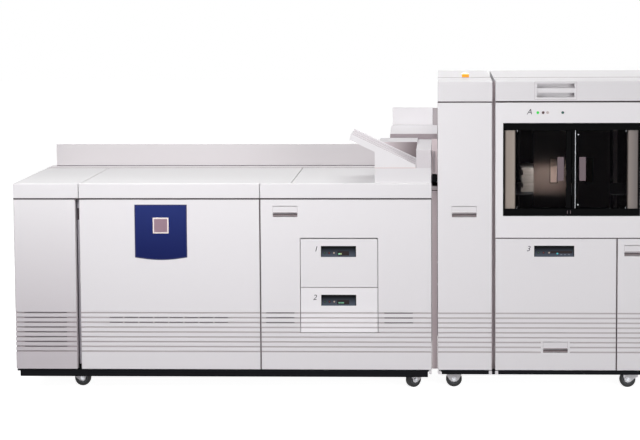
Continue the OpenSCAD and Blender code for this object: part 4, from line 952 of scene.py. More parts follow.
# %% Painted shade behind the seams of the fronts
SEAM_SHADE_LEVEL = ((-1520.4, 434.4, 898.5), (463.6, 715.4, 1348.5), (731.6, 1520.4, 1348.5),
              (731.6, 1520.4, 715.5))  # first X, last X, Z
SEAM_SHADE_UPRIGHT = ((-366.3, 98, 898), (1293.7, 98, 715))  # X, first Z, last Z
seam_shade = Shape("seam_shades")
for x0, x1, z in SEAM_SHADE_LEVEL:
    seam_shade.box((x0, FRONT + 1.4, z), (x1, FRONT + 4.0, z + 3.0), "brown")
for x, z0, z1 in SEAM_SHADE_UPRIGHT:
    seam_shade.box((x, FRONT + 2.4, z0), (x + 2.6, FRONT + 5.0, z1), "brown")
seam_shade.done("machine", "panel_paint")
print(len(SEAM_SHADE_LEVEL) + len(SEAM_SHADE_UPRIGHT), "seals")

# %% [markdown]
# ## Sample tray
#
# Sheets that the operator checks slide onto a ribbed tray beside the tower. Its ribs are solid in
# the CAD model, but pale on pale: what shows is the shaded front of each rib. Each gets a thin line
# of painted shade along its slope, by turns in a darker and a lighter grey. The backstop behind them
# is a plate with painted shade that darkens from left to right.

# %% Sample tray: backstop and rib lines
RIBS, RIB_RISE, RIB_RUN = 7, 144.0, 302.0
RIB_IN = 6
tray_stop = Shape("sample_tray_backstop")
tray_stop.box((178, -178, 1045), (363.4, -175.4, 1135), "backstop", 0.6)
tray_stop.box((177.6, -179, 1044.2), (363.4, -175.4, 1047), "band")
tray_stop.done("machine", "panel_paint")
low, high = box_of("sample_tray")
lines = Shape("sample_tray_lines")
slope = RIB_RISE / RIB_RUN
for i in range(1, RIBS):
    y = low.y + RIB_IN + i * (high.y - low.y - 2 * RIB_IN) / RIBS - 2
    (xa, za), (xb, zb) = [(x, high.z - (x - low.x - RIB_IN) * slope)
                          for x in (low.x + 12, high.x - 2)]
    lines.outline("y", [(xa, za - 3.0), (xb, zb - 3.0), (xb, zb - 1.2), (xa, za - 1.2)],
                  y - 0.6, y, "band" if i % 2 else "seam")
lines.done("machine", "panel_paint")
print(RIBS - 1, "rib lines")

# %% [markdown]
# ## Lips and seam lines of the covers
#
# The covers end in rolled lips, whose undersides are in shade. A real bevel of that size would be
# lost in the picture, so each lip gets a thin dark piece of painted shade at its lower edge, and the
# joints between the panels get pale lines. The pieces of a cover that opens ride on it.

# %% Lips and seam lines of the covers
def lip(shape, node, tall):
    """A dark line of painted shade, tall mm high, along the lower front edge of a CAD node."""
    low, high = box_of(node)
    shape.box((low.x + 0.6, FRONT - 0.3, low.z + 0.1),
              (high.x - 0.6, FRONT + 1.0, low.z + tall), "brown")


# The crossover cover's front edge gets a band of painted shade.
band = Shape("crossover_edge_shade")
band.box((225.6, 80.8, 1129.0), (458.4, 81.9, 1155.0), "band", 0.3)
band.done("crossover_cover", "panel_paint")
tops = Shape("top_seams")
tops.box((463.5, -222, 1447.5), (715.5, -219, 1449.5), "seam")
tops.done("machine", "panel_paint")
cover_seam = Shape("top_cover_seam")
cover_seam.box((731.5, -222, 1447.5), (1520.5, -219, 1449.5), "seam")
lip(cover_seam, "top_cover", 3.9)
cover_seam.done("top_cover", "panel_paint")
lips = Shape("edge_lips")
for node, tall in (("engine_fascia", 3.6), ("tower_top", 2.2), ("bay_surround", 1.1)):
    lip(lips, node, tall)
lips.box((-1494, 328.4, 973.8), (170, 330.2, 976.4), "brown")
lips.box((-1519, 205, 973.8), (170, 207, 975.6), "band")
lips.box((172, -555.4, 1043.4), (362, -553, 1045.0), "blush")
lips.done("machine", "panel_paint")
print("lips and seam lines laid")

# %% [markdown]
# ## Handle recesses
#
# A hand reaches under each paddle handle into an arched recess. The recess is a real pocket in the
# CAD solid, but the soft light fills it. A thin arched plate of painted shade, darker just under the
# handle, and a narrow line of painted shade on each side draw its shade. The lower lip of each
# handle gets a line of painted shade of its own, which rides on the handle.

# %% Shaded throats under the paddle handles
HANDLES = {  # door: X and Z of the handle's middle, and the body of the handle itself
    "tray_door": (-247.0, 843.0, "tray_door_latch"),
    "tower_door": (586.5, 842.0, "tower_latch"),
    "lower_door": (1386.0, 660.0, "lower_latch"),
    "tray_3": (1011.0, 206.0, "tray_3_handle"),
}
THROAT_HALF, THROAT_TOP, THROAT_FOOT, THROAT_ARCH, ARCH_STEPS = 57, -18, -25.8, 5.0, 12
SIDE_LINE = 1.2
for body, (x, z, _) in HANDLES.items():
    throat = Shape("throat_" + body)
    arch = [(x + THROAT_HALF - 2 * THROAT_HALF * i / ARCH_STEPS,
             z + THROAT_FOOT + THROAT_ARCH * math.sin(math.pi * i / ARCH_STEPS))
            for i in range(ARCH_STEPS + 1)]
    throat.outline("y", [(x - THROAT_HALF, z + THROAT_TOP), (x + THROAT_HALF, z + THROAT_TOP)]
                   + arch, FRONT + 1.6, FRONT + 6.0, "throat")
    throat.box((x - THROAT_HALF, FRONT + 1.6, z + THROAT_TOP),
               (x + THROAT_HALF, FRONT + 6.0, z - 12.7), "shade")
    for x0, x1 in ((x - 56 - SIDE_LINE, x - 56), (x + 56, x + 56 + SIDE_LINE)):
        throat.outline("y", [(x0, z + 25), (x1, z + 25), (x1, z - 12), (x0, z - 12)],
                       FRONT + 0.6, FRONT + 2.4, "band")
    throat.done(body, "works_dark")
for x, z, handle in HANDLES.values():
    low, high = box_of(handle)
    edge = Shape("lip_shade_" + handle)
    edge.box((x - 55, FRONT + 0.1, low.z + 0.3), (x + 55, FRONT + 0.5, low.z + 3.6), "band")
    edge.done(handle, "works_dark")
print(len(HANDLES), "handle recesses shaded")

# %% [markdown]
# ## Grip of the top cover
#
# The stacker's top cover is lifted by a bar in a recess. Both are in the CAD solid. Its narrow
# frame is a change of height of half a millimetre, so four thin strips in a seam's tone stand in.

# %% Frame round the grip of the stacker's top cover
GRIP_X, GRIP_Z = (910.5, 1105.5), (1362.0, 1444.4)
grip_frame = Shape("grip_frame")
for x0, x1, z0, z1 in ((*GRIP_X, 1443.0, GRIP_Z[1]), (*GRIP_X, GRIP_Z[0], 1363.6),
                       (GRIP_X[0], GRIP_X[0] + 1.4, 1363.6, 1443.0),
                       (GRIP_X[1] - 1.4, GRIP_X[1], 1363.6, 1443.0)):
    grip_frame.box((x0, FRONT - 0.6, z0), (x1, FRONT + 0.5, z1), "seam")
grip_frame.done("top_cover", "panel_paint")
print("grip frame", GRIP_X[1] - GRIP_X[0], "mm wide")

# %% [markdown]
# ## Displays
#
# Each drawer has a small display in a pocket: a dark panel that leans back, so that its foot
# catches the light, with three round indicators and a lit window on the slope. An upright panel
# with a painted picture would look flat from the side. So the panel is a wedge, and everything on
# it is placed by shares of the slope, which keeps it on the surface whatever the pocket measures.


# %% Display panels of the three trays
POCKET_GAP = 0.4
POCKET_DEPTH = 10.0
INDICATORS = ((0.107, "green", 3.3), (0.237, "red", 3.3), (0.373, "beige", 4.0))
INDICATOR_DOWN = 0.66


def display(name, body, x0, x1, z0, z1, patches):
    """x, z: the pocket's edges; patches: start, end and top, foot as shares of the slope's width
    and height, with a material and a height above the slope."""
    back = FRONT + POCKET_DEPTH
    top, foot = Vector((back - 1.4, z1 - POCKET_GAP)), Vector((FRONT + 0.8, z0 + 2.0))
    shape = Shape(name)
    shape.outline("x", [(back - POCKET_GAP / 4, z1 - POCKET_GAP), tuple(top), tuple(foot),
                        (FRONT + 0.8, z0 + POCKET_GAP), (back - POCKET_GAP / 4, z0 + POCKET_GAP)],
                  x0 + POCKET_GAP, x1 - POCKET_GAP, name + "_panel")
    out = Vector((0.0, -(top.y - foot.y), top.x - foot.x)).normalized()

    def at(share, down):
        p = top.lerp(foot, down)
        return Vector((x0 + share * (x1 - x0), p.x, p.y))

    for share, look, radius in INDICATORS:
        p = at(share, INDICATOR_DOWN)
        shape.rod(p - out * 0.3, p + out * 0.5, 5.4, "smoke", 24)
        shape.rod(p, p + out * 1.2, radius, look, 20)
    for share0, share1, down0, down1, look, rise in patches:
        corners = [at(share0, down0), at(share1, down0), at(share1, down1), at(share0, down1)]
        shape.prism([c - out * 0.2 for c in corners], [c + out * rise for c in corners], look)
    for edge in (x0 + POCKET_GAP, x1 - POCKET_GAP - 3):
        shape.box((edge, FRONT + 0.6, z0 + 1), (edge + 3, back - 0.2, z1 - POCKET_GAP), "window")
    return shape.done(body, "works_dark")


DISPLAYS = [
    ("tray_1", -81.0, 83.0, 629.0, 681.0, [
        (0.47, 0.80, 0.50, 0.90, "smoke", 0.4), (0.500, 0.540, 0.68, 0.81, "lcd", 0.7),
        (0.548, 0.588, 0.68, 0.81, "lcd_warm", 0.7)]),
    ("tray_2", -81.0, 83.0, 399.5, 451.5, [
        (0.455, 0.80, 0.50, 0.90, "smoke", 0.4), (0.490, 0.555, 0.70, 0.82, "lcd_dim", 0.7),
        (0.565, 0.650, 0.70, 0.82, "lcd_dim", 0.7)]),
    ("tray_3", 911.0, 1097.0, 631.0, 683.0, [
        (0.41, 0.95, 0.50, 0.72, "smoke", 0.3), (0.560, 0.600, 0.68, 0.80, "cyan", 0.7),
        (0.655, 0.70, 0.79, 0.87, "tick", 0.5), (0.75, 0.79, 0.79, 0.87, "tick", 0.5),
        (0.845, 0.89, 0.79, 0.87, "tick", 0.5)]),
]
for index, (body, x0, x1, z0, z1, patches) in enumerate(DISPLAYS, 1):
    name = "display_%d" % index
    # Dark moulded panel, with painted light at its foot and painted shade at its top
    M[name + "_panel"] = fade_material("display_panel_%d" % index, "4c535f", "010204",
                                       z0 + 4.0, z1 - 10.0, 0.75, 0.0, 0.12)
    display(name, body, x0, x1, z0, z1, patches)
    print(name, "on", body)

# %% [markdown]
# ## Printed digits
#
# The drawers are numbered 1 to 3, and the stacker bears the letter A, all screen-printed. Ink could
# be a pattern in the material, but a text object turned into a mesh keeps crisp edges in close
# views. It gets its thickness and slant as a curve, then it becomes a mesh, and only then is its
# place applied.


# %% Printed digits and letter
INK_HALF = 0.08  # mm: the ink stands 0.16 mm proud, so that it never flickers with the paint
CAP_SHARE = 0.7  # of the font's size, the height of a digit
INK_HEIGHT = 25


def printed(text, body, x, z):
    """A slanted character, centred at x and z, on the front plane."""
    curve = bpy.data.curves.new("mark_" + text, "FONT")
    curve.body = text
    curve.size = INK_HEIGHT / CAP_SHARE * MM
    curve.shear = 0.25
    curve.align_x, curve.align_y = "CENTER", "CENTER"
    curve.extrude = INK_HALF * MM
    curve.offset = 0.0001
    curve.resolution_u = 4
    holder = bpy.data.objects.new("mark_holder", curve)
    scene.collection.objects.link(holder)
    bpy.context.view_layer.update()
    mesh = bpy.data.meshes.new_from_object(
        holder.evaluated_get(bpy.context.evaluated_depsgraph_get()))
    bpy.data.objects.remove(holder)
    mesh.transform(Matrix.Translation((x * MM, (FRONT - INK_HALF) * MM, z * MM))
                   @ Matrix.Rotation(math.pi / 2, 4, "X"))
    mesh.materials.clear()
    mesh.materials.append(M["ink"])
    return settle("mark_" + text, mesh, body, "works_dark")


for mark in (("1", "tray_1", -105, 666), ("2", "tray_2", -111, 438), ("3", "tray_3", 884, 668),
             ("A", "machine", 887, 1305)):
    printed(*mark)
    print("printed", mark[0])

# %% [markdown]
# ## Inside of the window bay
#
# Behind the smoked doors the delivered sets stand in a bay that looks black. The CAD frame there is
# pale steel, and light would bounce off it. So thin black plates of painted shade line its sides,
# back, floor and roof, with a few ribs as a backstop.

# %% Black lining of the bay, painted shade which makes the window dark
LINER_RIBS, LINER_RIB_STEP = 7, 72
bay_right = box_of("window_frame")[1].x + 8
liner = Shape("bay_lining")
liner.box((761.4, -515, 748.2), (763.2, 74, 1341), "liner")
liner.box((bay_right - 2.6, -515, 748.2), (bay_right - 0.4, 74, 1341), "liner")
liner.box((761.4, 74.2, 748.2), (bay_right - 0.4, 76, 1341), "liner")
liner.box((761.4, -515, 746.3), (bay_right - 0.4, 76, 748.0), "liner")
liner.box((761.4, -515, 1341.2), (bay_right - 0.4, 76, 1343.4), "liner")
# A ribbed backstop, and a dark rail under the roof that holds the lamp
for i in range(LINER_RIBS):
    x = 860 + i * LINER_RIB_STEP
    liner.box((x, 68, 780), (x + 10, 74, 1320), "works", 1.5)
liner.box((800, -470, 1320), (bay_right - 41, -440, 1341), "works", 2)
liner.done("machine", "window_black")
print("bay lined from 761 to", round(bay_right), "mm")

# %% [markdown]
# ## Panes
#
# Each smoked door is a plain acrylic sheet with a black stile where the two meet, a hand hole with
# a grip plate beside it, and a hazy film on its inside. The film can't be a change of the acrylic's
# roughness, because the haze covers only a part of the pane, so it is a sheet of its own, close
# behind.


# %% Panes: hazy film, stiles, grips and pivot plates
PANE_Z = (857.0, 1218.0)
HOLE_Z = (976.5, 1088.5)
GRIP_PLATE_Z = (985, 1096)
HOLE_RIM = 3
PANE_BACK = FRONT + 20.0
PANE_FRONT = FRONT + 9.9


def pane_trim(name, body, film, stile, bright, grip, hole, screw_x):
    """Each argument gives low and high X of a piece, in mm; bright is the X of the metal line."""
    low, high = PANE_Z
    z0, z1 = HOLE_Z
    a, b = hole
    shape = Shape(name)
    shape.box((film[0], PANE_BACK + 0.1, low + 2), (film[1], PANE_BACK + 0.5, high - 2), "frost")
    shape.box((stile[0], FRONT + 7.5, low), (stile[1], PANE_FRONT, high), "window", 0.8)
    if bright:
        shape.box((bright, FRONT + 6.4, low), (bright + 2.2, PANE_FRONT, high), "pin", 0.4)
    shape.box((grip[0], FRONT + 3.0, GRIP_PLATE_Z[0]), (grip[1], PANE_FRONT, GRIP_PLATE_Z[1]),
              "grip", 1.2)
    for x0, x1, low_z, high_z in ((a - HOLE_RIM, a, z0 - HOLE_RIM, z1 + HOLE_RIM),
                                  (b, b + HOLE_RIM, z0 - HOLE_RIM, z1 + HOLE_RIM),
                                  (a, b, z0 - HOLE_RIM, z0), (a, b, z1, z1 + HOLE_RIM)):
        shape.box((x0, FRONT + 7.6, low_z), (x1, PANE_FRONT, high_z), "window", 0.5)
    shape.done(body, "window_black")
    if screw_x:
        screws(name + "_screws", body, [((screw_x, PANE_FRONT, z), (0, -1, 0))
                                        for z in (873.0, 1199.0)], 3.0, 1.2)


MEET = (box_of("window_door_left")[1].x + box_of("window_door_right")[0].x) / 2
pane_trim("left_pane_trim", "window_door_left", (908, MEET - 25.5), (MEET - 24.5, MEET - 2.0),
          None, (MEET - 65.5, MEET - 35.5), (MEET - 97.5, MEET - 67.5), None)
pane_trim("right_pane_trim", "window_door_right", (MEET + 18.5, 1260), (MEET + 2.0, MEET + 15.5),
          MEET + 15.9, (MEET + 35.5, MEET + 65.5), (MEET + 67.5, MEET + 97.5), MEET + 30.5)
catch = Shape("window_catches")
for x in (MEET - 20, MEET - 6):
    catch.box((x, FRONT + 1.6, 832), (x + 3, FRONT + 2.9, 847), "grip", 0.5)
catch.done("machine", "pin_steel")
print("the panes meet at", round(MEET, 1), "mm")

# %% [markdown]
# ## Paper
#
# The stacker holds delivered sets, offset by turns so that one can tell them apart, and each drawer
# a pile on its lift plate. The sets take the place of the plain CAD block. The drawers' piles leave
# room for the whole travel of the lift, because the sheets rise with it.

# %% Paper: the delivered sets in the stacker, and the sheets that wait in the trays
SHEET_LONG = 430
low, high = box_of("paper_stack")
sheets("delivered_sets", "platform", low, high, 24, 0.7,
       steps=(-5, -5, -5, -5, 5, 5, 5, 5, 5, -2, -2, -2, -2), seed=7, replaced=("paper_stack",))
SHEET_WIDTH = {"tray_1": 216.0, "tray_2": 216.0, "tray_3": 279.0}
for tray, share, lift in (("tray_1", 0.75, 150), ("tray_2", 0.6, 150), ("tray_3", 0.9, 450)):
    low, high = box_of(tray + "_plate")
    bin_high = box_of(tray + "_box")[1]
    top = max(high.z + share * (bin_high.z - high.z - lift - 10), high.z + 12)
    mid, half = (low.x + high.x) / 2, SHEET_WIDTH[tray] / 2
    sheets(tray + "_sheets", tray + "_plate", (mid - half, low.y + 20, high.z + 0.1),
           (mid + half, low.y + 20 + SHEET_LONG, top), 8, 0.5, seed=11)

# %% [markdown]
# ## Casters
#
# Each wheel turns on an axle between the two cheeks of its fork. The tyre, fork and stem are CAD
# solids. What they lack is what a close look shows: a grey hub disc with five holes drawn as black
# discs of painted shade, a nut and a washer on both ends of the axle, a thin white cheek with the
# outline of the real fork, whose white is partly painted light, and the bearing race of the swivel.
# All are drawn about the axle and then turned with the caster. The hub rides on the wheel, and the
# rest on the fork.


# %% Caster trim
AXLE_HIGH = 37.5
SWIVEL_TRAIL = 28  # from the stem to the axle
HUB_HOLES = 5
# Washer, nut and tip of the axle: start, end, radius, material and number of sides
AXLE_END = ((18.1, 19.4, 10, "pin", 24), (19.4, 23.5, 8, "pin", 6), (23.5, 25.5, 4, "zinc", 16))
# The cheek's two faces, from the middle of the wheel, and the rims of the fixed and swivel forks
CHEEK = (18.05, 18.9)
FIXED_RIM = [(-33, 42), (33, 42), (33, 16), (22, -2), (12, -11), (-12, -11), (-22, -2), (-33, 16)]
SWIVEL_RIM = [(-47, 42), (10, 42), (10, 13), (16, 3), (13, -9), (2, -15), (-12, -11), (-42, 13)]


def caster_trim(index, x, y, angle, fork_body):
    """Trim of the wheel that stands at x, y with its axle turned by angle."""
    spin = Matrix.Translation((x, y, AXLE_HIGH)) @ Matrix.Rotation(math.radians(angle), 4, "Z")

    def at(u, v, w):
        return tuple(spin @ Vector((u, v, w)))

    hub = Shape("hub_%d" % index)
    for s in (-1, 1):
        hub.rod(at(0, s * 12.1, 0), at(0, s * 13.6, 0), 24, "hub", 32)
        for k in range(HUB_HOLES):
            a = 2 * math.pi * k / HUB_HOLES
            u, w = 17 * math.cos(a), 17 * math.sin(a)
            hub.rod(at(u, s * 13.5, w), at(u, s * 13.9, w), 3, "base", 12)
    hub.done("wheel_%d" % index, "works_dark")
    nut = Shape("axle_nut_%d" % index)
    for s in (-1, 1):
        for start, end, radius, look, sides in AXLE_END:
            nut.rod(at(0, s * start, 0), at(0, s * end, 0), radius, look, sides)
    fixed = fork_body == "machine"
    for s in (-1, 1):
        nut.prism(*([at(u, s * v, w) for u, w in (FIXED_RIM if fixed else SWIVEL_RIM)]
                    for v in CHEEK), "cheek")
    if not fixed:
        stem = spin @ Vector((-SWIVEL_TRAIL, 0, 0))
        nut.rod((stem.x, stem.y, 83.2), (stem.x, stem.y, 80.5), 13, "pin", 24)
    nut.done(fork_body, "zinc")


SWIVELS = [(-1252, -475, 0), (371, -475, 215), (1384, -475, 180), (1384, 475, 180)]  # x, y, degrees
FIXED_WHEELS = [(-1224, 265), (343, 265), (539, -475), (539, 475)]
for i, (x, y, a) in enumerate(SWIVELS, 1):
    c, s = math.cos(math.radians(a)), math.sin(math.radians(a))
    caster_trim(i, x + SWIVEL_TRAIL * c, y + SWIVEL_TRAIL * s, a, "fork_%d" % i)
for i, (x, y) in enumerate(FIXED_WHEELS, len(SWIVELS) + 1):
    caster_trim(i, x, y, 0, "machine")
print(len(SWIVELS), "swivel casters and", len(FIXED_WHEELS), "fixed wheels trimmed")

# %% [markdown]
# ## Behind the main door
#
# The main door hides the marking works. On such machines everything that an operator may touch is
# green, and the rest is dark moulding and plate: housings with a knob and a release lever, covers
# of the belt's rollers, and a row of small plates. They are thin fronts on the CAD solids, so they
# need no more than boxes and bars with broken edges.

# %% Marking works
HOUSING_X = (-790, -656)
WORKS_FACE = -425.6
works = Shape("works_front")
for z in (238.0, 388.0, 538.0):
    works.box((HOUSING_X[0], -431, z), (HOUSING_X[1], WORKS_FACE, z + 112), "works", 2)
    works.box((HOUSING_X[0] + 14, -436, z + 14), (HOUSING_X[1] - 14, -431, z + 34), "steel", 1)
    works.rod((-724, -431, z + 70), (-724, -449, z + 70), 22, "works", 32)
    works.box((-730, -462, z + 44), (-718, -449, z + 96), "lever", 3)
for x, z in ((-1106, 244), (-848, 244), (-977, 792)):
    works.rod((x, WORKS_FACE, z), (x, -434, z), 30, "steel", 32)
    works.rod((x, -434, z), (x, -440, z), 12, "pin", 24)
works.box((-1150, -433, 420), (-1060, WORKS_FACE, 560), "works", 3)
works.box((-1120, -446, 450), (-1090, -433, 530), "lever", 4)
for i in range(3):
    works.box((-1010 + 66 * i, -430, 400), (-962 + 66 * i, WORKS_FACE, 520), "steel", 1)
works.done("machine", "works_dark")
print("marking works fronted")

# %% [markdown]
# ## Toner bottles
#
# Two bottles lie on a shelf beside the works, each a dark cylinder with a green shoulder and a dark
# cap. A cone and two bars in a row give that outline.

# %% Toner bottles on their shelf
RACK_X = (-640, -560)
bottles = Shape("toner_bottles")
bottles.box((RACK_X[0], -470, 96), (RACK_X[1], -150, 106), "steel")
bottles.box((RACK_X[0], -470, 396), (RACK_X[1], -150, 402), "steel")
for z in (182.0, 302.0):
    bottles.rod((-600, -440, z), (-600, -160, z), 38, "works", 40)
    bottles.rod((-600, -440, z), (-600, -452, z), 30, "lever", 32, 24)
    bottles.rod((-600, -452, z), (-600, -462, z), 12, "works", 20)
for x in (RACK_X[0], RACK_X[1] - 4):
    bottles.box((x, -440, 106), (x + 4, -160, 396), "steel")
bottles.done("machine", "works_dark")
print("toner bottles shelved")

# %% [markdown]
# ## Wire loom
#
# Four sleeved wires run along the top of the works, held by clips. Straight bars would look like
# rails, so each wire is a tube along points that sag a little between the clips and stray a
# millimetre or two, by a random amount with a fixed seed.

# %% Wire loom
LOOM_WIRES, LOOM_POINTS, LOOM_STEP, LOOM_CLIPS = 4, 20, 40, 5
loom = Shape("wire_loom")
rng = random.Random(5)
for k in range(LOOM_WIRES):
    y, z = -500 + 5 * k, 880 - 4 * (k % 2)
    path = [(-1190 + LOOM_STEP * j, y + rng.uniform(-1.5, 1.5), z - 5 * abs(math.sin(j * 0.5)))
            for j in range(LOOM_POINTS)]
    loom.tube(path, 2.6, "cable")
for j in range(LOOM_CLIPS):
    x = -1150 + 160 * j
    loom.box((x, -505, 868), (x + 6, -480, 886), "works", 1)
loom.done("machine", "works_dark")
print(LOOM_WIRES, "wires of", (LOOM_POINTS - 1) * LOOM_STEP, "mm laid")

# %% [markdown]
# ## Guides in the drawers and the tower
#
# A blue guide stands at the far end of each pile, and the tower's paper path has four dark baffles,
# each with a knob and a green lever. They show only when a drawer or the tower door is open. On the
# real machine they are flat or round, so boxes and bars do, and the drawers' guides are placed from
# the drawers' own boxes.

# %% Guides in the drawers and the tower
for tray in SHEET_WIDTH:
    low, high = box_of(tray + "_box")
    mid = (low.x + high.x) / 2
    base = box_of(tray + "_plate")[1].z
    guide = Shape(tray + "_guides")
    guide.box((mid - 30, low.y + 470, base + 14),
              (mid + 30, low.y + 476, min(high.z - 20, base + 120)), "blue", 2)
    guide.done(tray, "works_dark")
tower = Shape("tower_guides")
for z in (420.0, 640.0, 860.0, 1080.0):
    tower.box((489, -452, z), (690, -445.4, z + 120), "works", 2)
    tower.rod((560, -452, z + 60), (560, -470, z + 60), 16, "works", 28)
    tower.box((554, -482, z + 38), (566, -470, z + 82), "lever", 3)
tower.done("machine", "works_dark")
print("guides set")

# %% [markdown]
# ## Exit rollers
#
# The sheets leave for the sample tray through a slot, in which five rubber rollers sit on one steel
# shaft. One long bar would look like a pipe. The gaps between the rollers are what one sees, so
# each roller is a short bar of its own.

# %% Exit rollers in the slot beside the sample tray
ROLLERS, ROLLER_STEP, ROLLER_LONG = 5, 62, 22
SHAFT_X, SHAFT_Z = 390, 1095
exit_rolls = Shape("exit_rollers")
exit_rolls.rod((SHAFT_X, -508, SHAFT_Z), (SHAFT_X, -197, SHAFT_Z), 3, "pin", 16)
for i in range(ROLLERS):
    y = -480 + i * ROLLER_STEP
    exit_rolls.rod((SHAFT_X, y, SHAFT_Z), (SHAFT_X, y + ROLLER_LONG, SHAFT_Z), 9, "tyre", 24)
exit_rolls.done("machine", "works_dark")
print(ROLLERS, "exit rollers")

# %% [markdown]
# ## Screws of the panels
#
# The back covers and the side panels are held by screws round their edges. Places that are typed
# one by one soon leave the rows. Those on the back come from the panels' own boxes, a real edge
# distance in, those on the sides from two short lists, and the node tree puts a head on each.

# %% Screws on the back and the sides
SIDE_X = 1521
places = []
low, high = box_of("back_cover")
for x in (low.x + 20, (low.x + high.x) / 2, high.x - 20):
    for z in (low.z + 20, (low.z + high.z) / 2, high.z - 20):
        places.append(((x, high.y, z), (0, 1, 0)))
for node in ("tower_frame", "stacker_frame"):
    low, high = box_of(node)
    for x in (low.x + 18, high.x - 18):
        for z in (low.z + 30, (low.z + high.z) / 2, 1300):
            places.append(((x, high.y, z), (0, 1, 0)))
for side, ys, zs in ((1, (-500, 0, 500), (130, 720, 1310)), (-1, (-480, -90, 300), (130, 860))):
    places += [((side * SIDE_X, y, z), (side, 0, 0)) for y in ys for z in zs]
screws("panel_screws", "machine", places)

# %% [markdown]
# ## Lamps
#
# The photograph looks lit by large soft boxes: nothing on the pale fronts clips or glares. A bright
# world alone would do that, but it flattens the covers. So one wide box above gives the
# worktop its tone, strips and boxes in front shape each stretch of the fronts, a small lamp in the
# bay lights the delivered sets, and a low one behind keeps the back from going black.


# %% Lamps
def area_light(name, place, target, size, power, spread=180):
    """A soft box at place, in metres, that faces target."""
    data = bpy.data.lights.new(name, "AREA")
    data.shape = "RECTANGLE"
    data.size, data.size_y = size
    data.energy = power
    data.spread = math.radians(spread)
    obj = bpy.data.objects.new(name, data)
    scene.collection.objects.link(obj)
    obj.location = place
    way = Vector(target) - Vector(place)
    obj.rotation_euler = way.to_track_quat("-Z", "Y").to_euler()
    print(name, power, "W")


area_light("top_softbox", (0.0, 0.2, 5.2), (0.0, 0.0, 1.0), (5.0, 3.0), 107)
area_light("upper_front", (-1.1, -3.6, 3.2), (-0.8, -0.575, 0.85), (2.6, 0.8), 39)
area_light("fascia_strip", (-0.9, -2.1, 1.9), (-0.7, -0.575, 0.95), (2.2, 0.3), 18)
area_light("left_softbox", (-3.8, -2.5, 3.2), (-1.4, -0.575, 0.95), (1.8, 1.6), 46)
area_light("right_softbox", (2.6, -4.5, 1.1), (0.9, -0.575, 0.75), (1.6, 2.0), 78)
area_light("bay_lamp", (0.976, -0.50, 1.205), (0.976, -0.375, 0.985), (0.13, 0.02), 0.19,
           spread=62)
area_light("back_fill", (0.6, 5.0, 1.4), (0.0, 0.0, 0.7), (4.0, 1.6), 90)

# %% [markdown]
# ## White backdrop
#
# The photograph stands on plain white. More light would bring that too, but it would wash out the
# machine. The world asks what kind of ray looks at it: the camera, a reflection and a look through
# glass see pure white, and only the light that falls on the machine sees the real sky, which is
# dimmer below the horizon, so that the fronts fade towards the floor.


# %% World
SKY_LOW, SKY_HIGH = (-0.25, 0.05), (0.6, 0.14)  # height of the view, and the sky's strength there


def shows_backdrop(tree):
    """1 for the rays that show the white backdrop: to the eye, in metal and through glass."""
    rays = add(tree, "ShaderNodeLightPath")
    glossy = add(tree, "ShaderNodeMath", {0: rays.outputs["Is Glossy Ray"],
                                         1: rays.outputs["Is Transmission Ray"]},
                 operation="MAXIMUM")
    return add(tree, "ShaderNodeMath", {0: rays.outputs["Is Camera Ray"], 1: glossy.outputs[0]},
               operation="MAXIMUM").outputs[0]


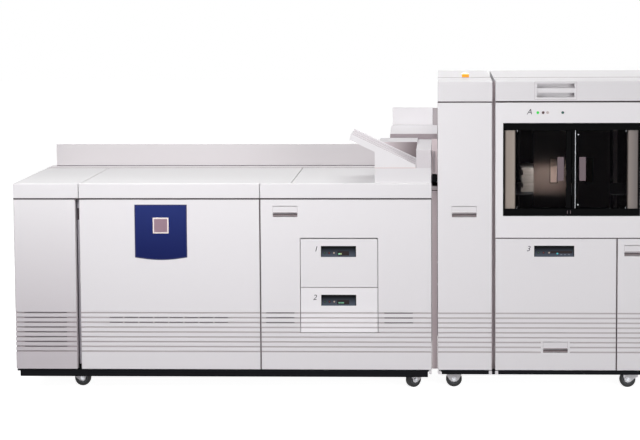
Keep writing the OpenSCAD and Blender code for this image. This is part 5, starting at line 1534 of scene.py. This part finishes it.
world = bpy.data.worlds.new("studio")
scene.world = world
world.use_nodes = True
sky = world.node_tree
seen = shows_backdrop(sky)
height = add(sky, "ShaderNodeSeparateXYZ",
             {"Vector": add(sky, "ShaderNodeTexCoord").outputs["Generated"]}).outputs["Z"]
lit = add(sky, "ShaderNodeMapRange", {"Value": height, "From Min": SKY_LOW[0],
                                      "From Max": SKY_HIGH[0], "To Min": SKY_LOW[1],
                                      "To Max": SKY_HIGH[1]})
level = add(sky, "ShaderNodeMix", {"Factor": seen, 2: lit.outputs[0], 3: 1.0},
            data_type="FLOAT")
tone = add(sky, "ShaderNodeMix", {"Factor": seen, MIX_A: colour("fdf8fa"),
                                  MIX_B: colour("ffffff")}, data_type="RGBA")
background = sky.nodes["Background"]
sky.links.new(tone.outputs[MIX_OUT], background.inputs["Color"])
sky.links.new(level.outputs[0], background.inputs["Strength"])
print("sky strength", SKY_LOW[1], "to", SKY_HIGH[1])

# %% [markdown]
# ## Floor
#
# The floor is white to the eye and still holds a faint shadow, which keeps the machine on the
# ground. It adds a nearly full white glow to a grey paint: the paint takes the shadow, and the glow
# keeps it pale. Light that bounces meets only the grey paint, so that the floor doesn't light the
# machine from below.

# %% Floor
FLOOR_HALF = 30.0
floor_mat = bpy.data.materials.new("white_floor")
floor_mat.use_nodes = True
tree = floor_mat.node_tree
tree.nodes.remove(tree.nodes["Principled BSDF"])
seen = shows_backdrop(tree)
white = add(tree, "ShaderNodeEmission", {"Color": colour("ffffff"), "Strength": 0.96})
paint = add(tree, "ShaderNodeBsdfDiffuse", {"Color": colour("c8c8c8")})
shown = add(tree, "ShaderNodeAddShader", {0: white.outputs[0], 1: paint.outputs[0]})
bounce = add(tree, "ShaderNodeBsdfDiffuse", {"Color": colour("98949a")})
mixed = add(tree, "ShaderNodeMixShader", {0: seen, 1: bounce.outputs[0], 2: shown.outputs[0]})
tree.links.new(mixed.outputs[0], tree.nodes["Material Output"].inputs["Surface"])
floor_mesh = bpy.data.meshes.new("floor")
floor_mesh.from_pydata([(-FLOOR_HALF, -FLOOR_HALF, 0), (FLOOR_HALF, -FLOOR_HALF, 0),
                        (FLOOR_HALF, FLOOR_HALF, 0), (-FLOOR_HALF, FLOOR_HALF, 0)], [],
                       [(0, 1, 2, 3)])
floor_mesh.materials.append(floor_mat)
floor = bpy.data.objects.new("floor", floor_mesh)
scene.collection.objects.link(floor)
print("floor", 2 * FLOOR_HALF, "m square")

# %% [markdown]
# ## Output
#
# The Standard transform shows a colour as it is written. Eight bounces are enough for white light
# between pale panels and through two panes.

# %% View transform and bounces
scene.view_settings.view_transform = "Standard"
scene.cycles.max_bounces = 8
scene.cycles.transparent_max_bounces = 8
print("view transform", scene.view_settings.view_transform)
